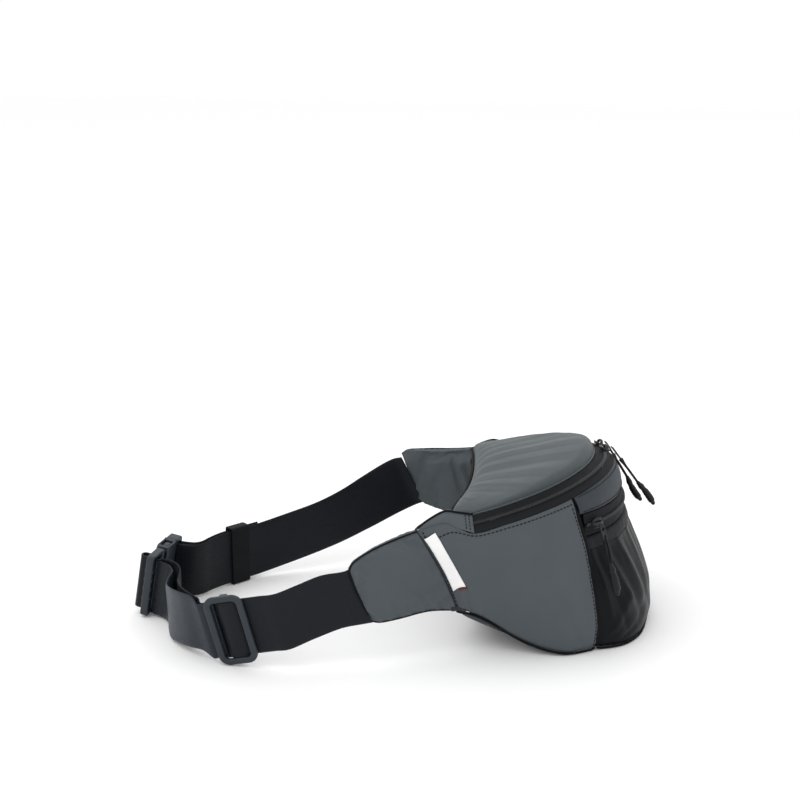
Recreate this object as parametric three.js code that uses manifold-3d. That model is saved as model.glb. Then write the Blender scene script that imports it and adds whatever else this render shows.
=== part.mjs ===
// Waist pack: a soft zipped bag with padded wings, a webbing belt on edge,
// a strap adjuster, an elastic keeper and a side-release buckle.
// Millimetres, +Z up. The bag stands on its flat bottom; the belt runs to +Y.
import * as THREE from 'three';
import { mergeVertices } from 'three/addons/utils/BufferGeometryUtils.js';
import Module from 'manifold-3d';

const wasm = await Module();
wasm.setup();

// ---- driving dimensions -------------------------------------------------
const WEB_W = 50;            // webbing width
const WEB_T = 1.8;           // webbing thickness
const PANEL_T = 1.5;         // fabric panel with its lining
const SEAM_GAP = 2.0;        // panel edge to seam line
const PAD_T = 12;            // padded wing thickness
const BACK_T = 7;            // padded back panel thickness

const ZIP_C = [0, 96, 106.6];  // centre of the main zip's arc
const ZIP_R = 114.3;           // radius of its lower edge
const ZIP_TILT = 0.30;         // the arc's plane rises to the front, radians
const ZIP_IN = 14.4;           // upper edge: inward from the lower edge
const ZIP_UP = 11.4;           // upper edge: above the lower edge
const ZIP_END = 84;            // half angle of the zip, degrees
const SEAM_E = 38;             // half angle of the pocket

const POC_C = [0, 93];         // centre of the pocket zip's arc, vertical axis
const POC_RL = 116.0, POC_ZL = 99.0;   // pocket zip lower edge
const POC_RU = 113.2, POC_ZU = 118.0;  // pocket zip upper edge

const SLIDER_L = 15, SLIDER_R = 27;    // rest angles of the main sliders
const SLIDER_P = -31;                  // rest angle of the pocket slider

const TG_G = [-171, 269.4, 32.5];      // adjuster centre
const TG_T = norm([-0.02, 0.974, -0.226]);   // along the strap
const TG_W = orth([-0.095, 0.224, 0.970], TG_T); // along its long side
const TG_L = 61, TG_S = 34, TG_R = 9;  // adjuster long side, short side, corner

// ---- small vector helpers ------------------------------------------------
function norm(a) { const l = Math.hypot(...a); return a.map((v) => v / l); }
function dot(a, b) { return a[0] * b[0] + a[1] * b[1] + a[2] * b[2]; }
function add(a, b, k = 1) { return [a[0] + b[0] * k, a[1] + b[1] * k, a[2] + b[2] * k]; }
function sub(a, b) { return [a[0] - b[0], a[1] - b[1], a[2] - b[2]]; }
function cross(a, b) { return [a[1] * b[2] - a[2] * b[1], a[2] * b[0] - a[0] * b[2], a[0] * b[1] - a[1] * b[0]]; }
function orth(a, t) { return norm(add(a, t, -dot(a, t))); }
function lerp(a, b, k) { return [a[0] + (b[0] - a[0]) * k, a[1] + (b[1] - a[1]) * k, a[2] + (b[2] - a[2]) * k]; }
const rad = (d) => (d * Math.PI) / 180;
const smooth = (t) => { const u = Math.min(1, Math.max(0, t)); return u * u * (3 - 2 * u); };

// ---- zip arc frames --------------------------------------------------------
const ZS = Math.sin(ZIP_TILT), ZC = Math.cos(ZIP_TILT);
const E2 = [0, -ZC, ZS], EN = [0, ZS, ZC];
function zipAt(deg, inward, up) {
  const r = ZIP_R - inward, a = rad(deg);
  let p = add(ZIP_C, [1, 0, 0], r * Math.sin(a));
  p = add(p, E2, r * Math.cos(a));
  return add(p, EN, up);
}
function zipTangent(deg) { const a = rad(deg); return norm(add([Math.cos(a), 0, 0], E2, -Math.sin(a))); }
function zipRadial(deg) { const a = rad(deg); return norm(add([Math.sin(a), 0, 0], E2, Math.cos(a))); }
function pocketAt(deg, r, z) { const a = rad(deg); return [POC_C[0] + r * Math.sin(a), POC_C[1] - r * Math.cos(a), z]; }

// ---- solids ---------------------------------------------------------------
function toGeometry(verts, tris) {
  const g = new THREE.BufferGeometry();
  g.setAttribute('position', new THREE.BufferAttribute(new Float32Array(verts.flat()), 3));
  let v6 = 0;
  for (const [a, b, c] of tris) v6 += dot(verts[a], cross(verts[b], verts[c]));
  g.setIndex((v6 < 0 ? tris.map(([a, b, c]) => [a, c, b]) : tris).flat());
  g.computeVertexNormals();
  return g;
}
// closed solid between two grids of the same size
function gridSolid(A, B) {
  const m = A.length, n = A[0].length, V = [], T = [];
  for (const row of A) for (const p of row) V.push(p);
  for (const row of B) for (const p of row) V.push(p);
  const a = (i, j) => i * n + j, b = (i, j) => m * n + i * n + j;
  const quad = (p, q, r, s) => { T.push([p, q, r], [p, r, s]); };
  for (let i = 0; i < m - 1; i++) for (let j = 0; j < n - 1; j++) {
    quad(a(i, j), a(i, j + 1), a(i + 1, j + 1), a(i + 1, j));
    quad(b(i, j), b(i + 1, j), b(i + 1, j + 1), b(i, j + 1));
  }
  for (let j = 0; j < n - 1; j++) {
    quad(a(0, j + 1), a(0, j), b(0, j), b(0, j + 1));
    quad(a(m - 1, j), a(m - 1, j + 1), b(m - 1, j + 1), b(m - 1, j));
  }
  for (let i = 0; i < m - 1; i++) {
    quad(a(i, 0), a(i + 1, 0), b(i + 1, 0), b(i, 0));
    quad(a(i + 1, n - 1), a(i, n - 1), b(i, n - 1), b(i + 1, n - 1));
  }
  return toGeometry(V, T);
}
// closed solid through equal closed sections
function sweepSolid(sections) {
  const m = sections.length, n = sections[0].length, V = sections.flat(), T = [];
  const s = (i, j) => i * n + ((j + n) % n);
  for (let i = 0; i < m - 1; i++) for (let j = 0; j < n; j++) {
    T.push([s(i, j), s(i, j + 1), s(i + 1, j + 1)], [s(i, j), s(i + 1, j + 1), s(i + 1, j)]);
  }
  for (let j = 1; j < n - 1; j++) { T.push([s(0, 0), s(0, j + 1), s(0, j)], [s(m - 1, 0), s(m - 1, j), s(m - 1, j + 1)]); }
  return toGeometry(V, T);
}
// uniform Catmull-Rom through a row of points
function spline(row, u) {
  const n = row.length - 1, x = Math.min(Math.max(u, 0), 1) * n, i = Math.min(n - 1, Math.floor(x)), t = x - i;
  const p1 = row[i], p2 = row[i + 1];
  const p0 = i > 0 ? row[i - 1] : add(p1, sub(p2, p1), -1), p3 = i < n - 1 ? row[i + 2] : add(p2, sub(p2, p1), 1);
  return [0, 1, 2].map((k) => 0.5 * (2 * p1[k] + (p2[k] - p0[k]) * t + (2 * p0[k] - 5 * p1[k] + 4 * p2[k] - p3[k]) * t * t
    + (3 * p1[k] - p0[k] - 3 * p2[k] + p3[k]) * t * t * t));
}
function surf(grid, u, v) { return spline(grid.map((row) => spline(row, u)), v); }
function runLength(pts) { let l = 0; for (let i = 1; i < pts.length; i++) l += Math.hypot(...sub(pts[i], pts[i - 1])); return l; }
// even samples of a control grid, set back from its border
function sample(grid, nu, nv, set = SEAM_GAP) {
  const mid = [...Array(9).keys()].map((i) => i / 8);
  const lu = runLength(mid.map((u) => surf(grid, u, 0.5))), lv = runLength(mid.map((v) => surf(grid, 0.5, v)));
  const s = Array.isArray(set) ? set : [set, set, set, set]; // u0 u1 v0 v1
  const u0 = s[0] / lu, u1 = 1 - s[1] / lu, v0 = s[2] / lv, v1 = 1 - s[3] / lv;
  const out = [];
  for (let j = 0; j <= nv; j++) {
    const row = [];
    for (let i = 0; i <= nu; i++) row.push(surf(grid, u0 + ((u1 - u0) * i) / nu, v0 + ((v1 - v0) * j) / nv));
    out.push(row);
  }
  return out;
}
// the same grid moved by depth along its normals, towards the point "inside"
function offset(G, depth, inside, edge = 1) {
  const m = G.length, n = G[0].length;
  return G.map((row, i) => row.map((p, j) => {
    const du = sub(G[i][Math.min(n - 1, j + 1)], G[i][Math.max(0, j - 1)]);
    const dv = sub(G[Math.min(m - 1, i + 1)][j], G[Math.max(0, i - 1)][j]);
    let nn = norm(cross(du, dv));
    if (dot(nn, sub(inside, p)) < 0) nn = nn.map((v) => -v);
    const onEdge = i === 0 || j === 0 || i === m - 1 || j === n - 1;
    return add(p, nn, depth * (onEdge ? edge : 1));
  }));
}
function panel(grid, nu, nv, set, t, inside) { const G = sample(grid, nu, nv, set); return gridSolid(G, offset(G, t, inside)); }
function mirror(grid, inset = 0) {
  return grid.map((row) => row.map(([x, y, z]) => [-(x + inset * smooth((y - 80) / 45)), y, z]));
}

// ---- bag surface -------------------------------------------------------------
const CORE = [0, 50, 70];
const L = (d) => zipAt(d, 0, 0);
const EDGE_E = [[-69, -12, 2.5], [-70.5, -14, 24], [-70.5, -9, 58], [-71, -2, 92], L(-39)]; // pocket seam, bottom to top
const COL_55 = [[-86, 12, 2.5], [-92, 10, 30], [-96, 15, 62], [-97, 23, 95], L(-55)];
const COL_70 = [[-91, 42, 10], [-99, 42, 36], [-105, 46, 64], [-109, 51, 92], L(-70)];
const COL_84 = [[-96, 74, 28], [-104, 76, 48], [-110, 79, 70], [-114, 82, 92], L(-84)];
const COL_P5 = [[-100, 88, 35], [-107, 92, 54], [-112, 98, 76], [-116, 103, 98], [-113, 107, 117]];
const EDGE_F = [[-104, 99, 38], [-107, 103, 52], [-112, 110, 72], [-118, 120, 94], [-122, 129, 111]];
const cols = (list) => list[0].map((_, i) => list.map((c) => c[i]));   // rows bottom to top
const SIDE = cols([EDGE_E, COL_55, COL_70, COL_84, COL_P5, EDGE_F]);

// strip between the two zips, rows bottom to top, from one pocket seam to the other
const stripTop = [-38, -25, -12, 0, 12, 25, 38].map((d) => L(d));
const stripBot = [-38, -25, -12, 0, 12, 25, 38].map((d) => pocketAt(d, POC_RU, POC_ZU));
const STRIP = [stripBot, stripBot.map((p, i) => add(lerp(p, stripTop[i], 0.5), zipRadial([-38, -25, -12, 0, 12, 25, 38][i]), 1.0)), stripTop];

// pocket panel: full front below the pocket zip
const pocketRow = (pts) => [...pts, ...pts.slice(0, -1).reverse().map(([x, y, z]) => [-x, y, z])];
const POCKET = [
  pocketRow([[-69, -12, 2.5], [-54, -33, 2], [-30, -44, 2], [0, -46, 2]]),
  pocketRow([[-69.5, -14, 18], [-54, -33, 17], [-30, -44, 16], [0, -47, 16]]),
  pocketRow([[-70, -13, 38], [-54, -29, 38], [-30, -39.5, 38], [0, -42.5, 38]]),
  pocketRow([[-70, -8.5, 60], [-53, -22.5, 60], [-29, -32, 60], [0, -35, 60]]),
  pocketRow([[-70.5, -4, 80], [-52, -15, 80], [-28, -24.5, 80], [0, -27.5, 80]]),
  pocketRow([pocketAt(-37.5, POC_RL, POC_ZL), pocketAt(-26, POC_RL, POC_ZL), pocketAt(-13, POC_RL, POC_ZL), pocketAt(0, POC_RL, POC_ZL)]),
];

// top panel: from the zip's upper edge back to the back-top seam
const LID_D = [-84, -70, -52, -35, -17, 0, 17, 35, 52, 70, 84];
const LID_BACK = [[-98, 107, 120.5], [-84, 107.5, 120], [-66, 107.5, 119], [-46, 107, 118.5], [-24, 108, 118], [-2, 110, 118.5],
  [20, 113, 119], [41, 117, 119], [60, 121, 119.2], [76, 125, 118.6], [89, 129, 117.5]];
const LID_RISE = [0, 5, 8.7, 12, 13.6, 16.6, 15.9, 12.4, 10.2, 7.8, 5.4];
const LID_T = [0, 0.05, 0.13, 0.3, 0.5, 0.7, 0.87, 0.95, 1];
const LID_PUFF = [0, 0.6, 0.8, 0.9, 0.87, 0.85, 0.72, 0.36, 0];   // flat cushion-like crown, steep at its edges
const LID = LID_T.map((t, k) => LID_D.map((d, i) => add(lerp(zipAt(d, ZIP_IN, ZIP_UP), LID_BACK[i], t), [0, 0, 1], LID_RISE[i] * LID_PUFF[k])));

// bottom panel: flat in the middle, rising to the side seams and the back
const BOT = [[-42, 26, 2.2, 0], [-30, 50, 2.2, 0], [-10, 66, 2.2, 0], [14, 86, 2.5, 0], [40, 90, 9, 0], [60, 92, 20, 2], [78, 96, 30, 8], [98, 101, 37, 18]]
  .map(([y, w, e, c]) => [-1, -0.84, -0.62, -0.3, 0, 0.3, 0.62, 0.84, 1].map((k) => {
    const f = Math.abs(k) <= 0.62 ? 0 : Math.pow((Math.abs(k) - 0.62) / 0.38, 1.6);
    return [k * w, y, c + (e - c) * f];
  }));

// back panel, rows bottom to top
const backBot = [[-96, 101, 38], [-66, 103, 27], [-33, 104, 21], [0, 105, 19], [33, 107, 22], [64, 110, 30], [90, 112, 40]];
const backTop = [[-94, 110, 116], [-66, 109.5, 117], [-33, 109, 116.5], [0, 111, 116.5], [33, 116, 116], [62, 121.5, 114], [84, 127, 110]];
const BACK = [0, 0.33, 0.67, 1].map((t) => backBot.map((p, i) => add(lerp(p, backTop[i], t), [0, 1, 0], 5 * Math.sin(Math.PI * t))));

// padded wings: outer face columns from the bag seam to the belt end, bottom to top
const WING_L = cols([EDGE_F,
  [[-117, 120, 40], [-121, 124, 56], [-126, 131, 74], [-129, 137, 92], [-129, 141, 107]],
  [[-130, 141, 36.5], [-134, 145, 52], [-138, 151, 68], [-140, 157, 85], [-139, 160, 99]],
  [[-141, 161, 34], [-144, 165, 47], [-147, 170, 60], [-149, 175, 74], [-150, 179, 87]]]);
const WING_R = cols([
  EDGE_F.map(([x, y, z]) => [-(x + 9 * smooth((y - 80) / 45)), y, z]),
  [[107, 128, 43], [110, 132, 58], [114, 139, 76], [116, 145, 93], [115, 149, 108]],
  [[111, 156, 45], [115, 160, 60], [119, 166, 76], [120, 171, 92], [118, 175, 105]],
  [[116, 184, 50], [120, 188, 62], [123, 194, 74], [125, 200, 87], [126, 206, 99]]]);
function wing(grid, side) {
  const G = sample(grid, 8, 6, [1.4, 0.5, 1, 1]);
  const inner = offset(G, PAD_T, [side * 40, 60, 60]);
  // thin at the rim, full in the middle
  const m = G.length - 1, n = G[0].length - 1;
  const I = inner.map((row, i) => row.map((p, j) => {
    const rim = Math.min(1, Math.min(i, m - i) / 1.5), end = j === n ? 0.75 : j === 0 ? 0.8 : 1;
    return lerp(G[i][j], p, (0.6 + 0.4 * rim) * end);
  }));
  return gridSolid(G, I);
}

// ---- webbing -----------------------------------------------------------------
// stations [bottom point, top point]; the ribbon is WEB_T thick
function ribbon(stations, t = WEB_T) {
  const A = [[], []], B = [[], []];
  const n = stations.length;
  stations.forEach(([lo, hi], i) => {
    const c = (k) => lerp(stations[k][0], stations[k][1], 0.5);
    const along = norm(sub(c(Math.min(n - 1, i + 1)), c(Math.max(0, i - 1))));
    const nn = norm(cross(along, sub(hi, lo)));
    A[0].push(add(lo, nn, t / 2)); A[1].push(add(hi, nn, t / 2));
    B[0].push(add(lo, nn, -t / 2)); B[1].push(add(hi, nn, -t / 2));
  });
  return gridSolid(A, B);
}
const tg = (tau, h, nOff = 0) => add(add(add(TG_G, TG_T, tau), TG_W, h), TG_N, nOff);
const TG_N = norm(cross(TG_W, TG_T)).map((v, i, a) => (a[0] > 0 ? -v : v));   // outward, to -X
const H = WEB_W / 2;
// the buckle leans toward the bag at its top, and the webbing's ends twist with it
const LEAN = rad(10), LEAN_Y = 374.5, LEAN_Z = 29;
function leanPt([x, y, z]) {
  const dy = y - LEAN_Y, dz = z - LEAN_Z;
  return [x, LEAN_Y + dy * Math.cos(LEAN) - dz * Math.sin(LEAN), LEAN_Z + 0.4 + dy * Math.sin(LEAN) + dz * Math.cos(LEAN)];
}
const leanEnd = (stations, ks) => stations.map((st, i) => {
  const k = ks[i - (stations.length - ks.length)] || 0;
  return st.map(([x, y, z]) => [x, y - k * Math.tan(LEAN) * (z - LEAN_Z), z]);
});
function leaned(g) {
  const p = g.attributes.position;
  for (let i = 0; i < p.count; i++) { const [x, y, z] = leanPt([p.getX(i), p.getY(i), p.getZ(i)]); p.setXYZ(i, x, y, z); }
  g.computeVertexNormals();
  return g;
}
const webRoot = [
  [[-143.2, 165, 36.2], [-150.2, 183, 81.5]],
  [[-149, 184, 32.5], [-156, 199, 79]],
  [[-157, 204, 24.5], [-164, 217, 72]],
  [tg(-44, -H), tg(-44, H)], [tg(-36, -H), tg(-36, H)], [tg(0, -H), tg(0, H)], [tg(19, -H), tg(19, H)],
];
const webOuter = [
  [tg(19, -H), tg(19, H)], [tg(23.5, -H), tg(23.5, H)],
  [[-165, 297.5, 4.2], [-171, 304, 53.8]],
  [[-160, 311, 3.2], [-164, 317, 53]],
  [[-151, 325, 2.4], [-153, 330, 52.3]],
  [[-140, 336, 2], [-140.5, 338.5, 52]],
  [[-126.5, 343.3, 2], [-127, 342.8, 52]],
  [[-113, 348, 2], [-113.5, 346, 52]],
  [[-101.5, 357, 2], [-102.5, 355, 52]],
  [[-97, 366.4, 2.4], [-97.4, 366.4, 52.4]],
];
const webInnerA = [   // sewn end on the adjuster
  [tg(8, -H + 1, -3.9), tg(8, H - 1, -3.9)], [tg(22, -H + 1, -3.9), tg(22, H - 1, -3.9)],
  [[-159, 294.2, 4.6], [-164.6, 300.6, 53]],
];
const webInnerB = [
  [[-158.2, 295.2, 4.6], [-163.6, 301.7, 52.8]],
  [[-153, 304.5, 4], [-156.5, 311.3, 52.6]],
  [[-144.5, 316, 3.2], [-146.5, 322.2, 52.4]],
  [[-134, 326, 2.6], [-135, 330.6, 52.2]],
  [[-121, 334.2, 2.2], [-121.5, 335.6, 52]],
  [[-107, 341.6, 2.2], [-107.5, 341.2, 52]],
  [[-95.5, 351.5, 2.2], [-96, 350.8, 52]],
  [[-91.5, 359.5, 2.4], [-91.7, 359.5, 52.3]],
  [[-90.4, 366.4, 2.6], [-90.4, 366.4, 52.4]],
];
const webFar = [
  [[113.6, 188.8, 47.4], [113.4, 211.2, 92.2]],
  [[101, 203, 42], [101.5, 220, 89]],
  [[83, 223, 33], [85, 233, 82]],
  [[63, 246, 23.5], [64, 249, 73.2]],
  [[46, 268, 16], [46, 267, 66]],
  [[30, 293, 8], [31, 291.5, 58]],
  [[13.5, 313, 3], [14, 312, 53]],
  [[2, 322.2, 2.2], [2.4, 321.6, 52.2]],
  [[-9.5, 329.8, 2], [-9.2, 329.4, 52]],
  [[-22, 336.8, 2], [-21.9, 336.6, 52]],
  [[-34, 341.6, 2], [-34, 341.5, 52]],
  [[-45, 345, 2], [-45, 345, 52]],
  [[-51.6, 351, 2.2], [-51.6, 351, 52.2]],
  [[-53.6, 359, 2.4], [-53.6, 359, 52.4]],
  [[-53.8, 366.2, 2.6], [-53.8, 366.2, 52.6]],
];
// free tail folded back beside the far strap, on its outer side
const webTail = [
  [[16.6, 316.2, 2.8], [17, 315.4, 52.8]],
  [[4.6, 325.6, 2.2], [4.9, 325.1, 52.2]],
  [[-7.5, 333.3, 2], [-7.3, 332.9, 52]],
  [[-20.2, 340.4, 2], [-20.1, 340.2, 52]],
  [[-32.6, 345.4, 2], [-32.6, 345.3, 52]],
  [[-41.5, 349, 2], [-41.5, 349, 52]],
  [[-46.6, 354.6, 2.2], [-46.6, 354.6, 52.2]],
  [[-47.6, 361, 2.4], [-47.6, 361, 52.4]],
  [[-47.6, 366.2, 2.6], [-47.6, 366.2, 52.6]],
];

// ---- prisms and rounded plates -------------------------------------------------
function frame(o, ex, ey, ez) { return (x, y, z) => add(add(add(o, ex, x), ey, y), ez, z); }
// prism of a 2D outline in the plane (ex, ey), from z0 to z1 along ez
function prism(o, ex, ey, ez, outline, z0, z1) {
  const f = frame(o, ex, ey, ez);
  const shape = new THREE.Shape(outline.map(([x, y]) => new THREE.Vector2(x, y)));
  const g = new THREE.ExtrudeGeometry(shape, { depth: z1 - z0, bevelEnabled: false });
  const p = g.attributes.position, verts = [], tris = [];
  for (let i = 0; i < p.count; i++) verts.push(f(p.getX(i), p.getY(i), p.getZ(i) + z0));
  const bare = new THREE.BufferGeometry();
  bare.setAttribute('position', new THREE.BufferAttribute(new Float32Array(verts.flat()), 3));
  const merged = mergeVertices(bare, 1e-4), q = merged.attributes.position, idx = merged.index.array;
  const vv = []; for (let i = 0; i < q.count; i++) vv.push([q.getX(i), q.getY(i), q.getZ(i)]);
  for (let i = 0; i < idx.length; i += 3) tris.push([idx[i], idx[i + 1], idx[i + 2]]);
  return toGeometry(vv, tris);
}
function roundRect(w, h, r, n = 3, cx = 0, cy = 0) {
  const pts = [];
  [[1, 1, 0], [-1, 1, 90], [-1, -1, 180], [1, -1, 270]].forEach(([sx, sy, a0]) => {
    for (let i = 0; i <= n; i++) {
      const a = rad(a0 + (90 * i) / n);
      pts.push([cx + sx * (w / 2 - r) + r * Math.cos(a), cy + sy * (h / 2 - r) + r * Math.sin(a)]);
    }
  });
  return pts;
}
const rect = (x0, y0, x1, y1) => [[x0, y0], [x1, y0], [x1, y1], [x0, y1]];
function toManifold(g) {
  const idx = g.index.array, p = g.attributes.position.array;
  return new wasm.Manifold(new wasm.Mesh({ numProp: 3, vertProperties: new Float32Array(p), triVerts: new Uint32Array(idx) }));
}
function fromManifold(m) {
  const k = m.getMesh(), V = [], T = [];
  for (let i = 0; i < k.vertProperties.length; i += k.numProp) V.push([k.vertProperties[i], k.vertProperties[i + 1], k.vertProperties[i + 2]]);
  for (let i = 0; i < k.triVerts.length; i += 3) T.push([k.triVerts[i], k.triVerts[i + 1], k.triVerts[i + 2]]);
  return toGeometry(V, T);
}
const union = (...g) => fromManifold(g.map(toManifold).reduce((a, b) => a.add(b)));
const minus = (a, ...g) => fromManifold(g.map(toManifold).reduce((x, b) => x.subtract(b), toManifold(a)));

// ---- zip parts -------------------------------------------------------------------
const BAND_L = Math.hypot(ZIP_IN, ZIP_UP);
const BD = [-ZIP_IN / BAND_L, ZIP_UP / BAND_L];          // across the zip, lower to upper (radial, normal)
const BN = [ZIP_UP / BAND_L, ZIP_IN / BAND_L];           // outward
function mainBandPoint(deg, s, d) {                       // s across from the lower edge, d outward
  const r = BD[0] * s + BN[0] * d, u = BD[1] * s + BN[1] * d;
  return zipAt(deg, -r, u);
}
function mainBand(s0, s1, d0, d1, a0, a1, n) {
  const sec = [];
  for (let i = 0; i <= n; i++) {
    const a = a0 + ((a1 - a0) * i) / n;
    sec.push([mainBandPoint(a, s0, d0), mainBandPoint(a, s1, d0), mainBandPoint(a, s1, d1), mainBandPoint(a, s0, d1)]);
  }
  return sweepSolid(sec);
}
const POC_L = Math.hypot(POC_RL - POC_RU, POC_ZU - POC_ZL);
const PD = [(POC_RU - POC_RL) / POC_L, (POC_ZU - POC_ZL) / POC_L], PN = [PD[1], -PD[0]];
function pocketBandPoint(deg, s, d) { return pocketAt(deg, POC_RL + PD[0] * s + PN[0] * d, POC_ZL + PD[1] * s + PN[1] * d); }
function pocketBand(s0, s1, d0, d1, a0, a1, n) {
  const sec = [];
  for (let i = 0; i <= n; i++) {
    const a = a0 + ((a1 - a0) * i) / n;
    sec.push([pocketBandPoint(a, s0, d0), pocketBandPoint(a, s1, d0), pocketBandPoint(a, s1, d1), pocketBandPoint(a, s0, d1)]);
  }
  return sweepSolid(sec);
}
// local frames on the zips: origin on the coil line, t along, d across upward, w outward
function mainFrame(deg) {
  const t = zipTangent(deg), rdl = zipRadial(deg);
  const d = norm(add(rdl.map((v) => v * BD[0]), EN, BD[1])), w = norm(add(rdl.map((v) => v * BN[0]), EN, BN[1]));
  return { o: mainBandPoint(deg, BAND_L / 2, 1.9), t, d, w };
}
function pocketFrame(deg) {
  const a = rad(deg), t = [Math.cos(a), Math.sin(a), 0], rdl = [Math.sin(a), -Math.cos(a), 0];
  const d = norm(add(rdl.map((v) => v * PD[0]), [0, 0, 1], PD[1])), w = norm(add(rdl.map((v) => v * PN[0]), [0, 0, 1], PN[1]));
  return { o: pocketBandPoint(deg, POC_L / 2, 1.9), t, d, w };
}
// slider: body with a raised bridge, extruded across the zip
const SLIDER_PROFILE = [[-5.6, 0], [5.6, 0], [5.6, 1.8], [3.9, 2.2], [3.2, 4.2], [-3.2, 4.2], [-3.9, 2.2], [-5.6, 1.8]];
function slider(fr, half) { return prism(fr.o, fr.t, fr.w, norm(cross(fr.t, fr.w)), SLIDER_PROFILE, -half, half); }

// pull: tab, two strands and a moulded end, along the direction g, flat side facing q
function pullParts(start, g, q, tabL, cordL, endL) {
  const x = norm(cross(q, g)), qq = norm(cross(g, x));
  const tab = prism(start, x, g, qq, roundRect(5.4, tabL, 2, 2, 0, tabL / 2), -0.8, 0.8);
  const c0 = add(start, g, tabL + 0.4);
  const strand = (k) => {
    const a = add(c0, x, k * 1.7), b = add(add(c0, g, cordL), x, k * 1.4), m = add(add(lerp(a, b, 0.5), x, k * 0.9), qq, 0.4);
    const path = new THREE.CatmullRomCurve3([a, m, b].map((p) => new THREE.Vector3(...p)));
    const oct = new THREE.Shape([...Array(8).keys()].map((i) => new THREE.Vector2(1.0 * Math.cos(rad(45 * i)), 1.0 * Math.sin(rad(45 * i)))));
    const geo = new THREE.ExtrudeGeometry(oct, { steps: 4, extrudePath: path, bevelEnabled: false });
    geo.deleteAttribute('normal'); geo.deleteAttribute('uv');
    const merged = mergeVertices(geo, 1e-4), p = merged.attributes.position, V = [], T = [];
    for (let i = 0; i < p.count; i++) V.push([p.getX(i), p.getY(i), p.getZ(i)]);
    for (let i = 0; i < merged.index.count; i += 3) T.push([merged.index.array[i], merged.index.array[i + 1], merged.index.array[i + 2]]);
    return toGeometry(V, T);
  };
  const e0 = add(c0, g, cordL + 0.4);
  const end = prism(e0, x, g, qq, roundRect(6.4, endL, 2.6, 2, 0, endL / 2), -2.2, 2.2);
  return { tab, cordA: strand(-1), cordB: strand(1), end };
}

// ---- scene -----------------------------------------------------------------------
const group = new THREE.Group();
const GREY = 0x4b4e50, GREY_TOP = 0x515552, BLACK = 0x191a1d, WEB = 0x141519, PLASTIC = 0x2a2c30, METAL = 0x33353a, WHITE = 0xe9e9e6, RED = 0x5a2420;
function put(name, geometry, color, roughness = 0.85, metalness = 0) {
  const mesh = new THREE.Mesh(geometry, new THREE.MeshStandardMaterial({ color, roughness, metalness }));
  mesh.name = name;
  group.add(mesh);
}

put('side_panel_left', panel(SIDE, 9, 6, [2.2, 1.4, 2, 2.2], PANEL_T, CORE), GREY);
put('side_panel_right', panel(mirror(SIDE, 9), 9, 6, [2.2, 1.4, 2, 2.2], PANEL_T, CORE), GREY);
put('front_strip', panel(STRIP, 12, 2, [0.8, 0.8, 0.9, 0.9], PANEL_T, CORE), GREY);
put('front_pocket_panel', panel(POCKET, 10, 6, [1.2, 1.2, 2, 1.2], PANEL_T, CORE), BLACK);
put('pocket_back_wall', (() => {
  const G = sample(POCKET, 8, 4, [9, 9, 12, 7]);
  const back = offset(G, 15, CORE);
  return gridSolid(back, offset(back, 1.2, CORE));
})(), BLACK);
put('top_panel', panel(LID, 16, 11, [2.4, 2.4, 1.8, 2.6], PANEL_T, CORE), GREY_TOP);
put('bottom_panel', (() => {
  const B = BOT.map((row) => row.map((p) => [...p]));
  const up = B.map((row, i) => row.map(([x, y, z]) => [x * 0.985, y, z + PANEL_T]));
  const trim = (G) => G.map((row) => row.map(([x, y, z]) => [x * (1 - 2.2 / 90), y, z]));
  return gridSolid(trim(B), trim(up));
})(), GREY);
put('back_panel', (() => {
  const G = sample(BACK, 10, 4, [4, 4, 3, 3]);
  return gridSolid(G, offset(G, BACK_T, CORE, 0.5));
})(), GREY);
put('wing_left', wing(WING_L, -1), GREY);
put('wing_right', wing(WING_R, 1), GREY);

put('main_zip_tape_lower', mainBand(0.5, 7.2, -1.0, 0, -ZIP_END, ZIP_END, 28), BLACK);
put('main_zip_coil_lower', mainBand(7.6, 8.95, -1.2, 1.3, -ZIP_END + 1, ZIP_END - 1, 28), BLACK, 0.5);
put('main_zip_coil_upper', mainBand(9.4, 10.75, -1.2, 1.3, -ZIP_END + 1, ZIP_END - 1, 28), BLACK, 0.5);
put('main_zip_tape_upper', mainBand(11.15, 17.9, -1.0, 0, -ZIP_END, ZIP_END, 28), BLACK);
put('pocket_zip_tape_lower', pocketBand(0.6, 8.0, -1.0, 0, -36.5, 36.5, 14), BLACK);
put('pocket_zip_coil_lower', pocketBand(8.35, 9.45, -1.2, 1.3, -35.5, 35.5, 14), BLACK, 0.5);
put('pocket_zip_coil_upper', pocketBand(9.8, 10.9, -1.2, 1.3, -35.5, 35.5, 14), BLACK, 0.5);
put('pocket_zip_tape_upper', pocketBand(11.3, 18.6, -1.0, 0, -36.5, 36.5, 14), BLACK);
put('main_zip_end_left', mainBand(1.5, 16.5, 0.4, 1.2, -ZIP_END - 0.2, -ZIP_END + 0.8, 1), GREY);
put('main_zip_end_right', mainBand(1.5, 16.5, 0.4, 1.2, ZIP_END - 0.8, ZIP_END + 0.2, 1), GREY);

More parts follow.
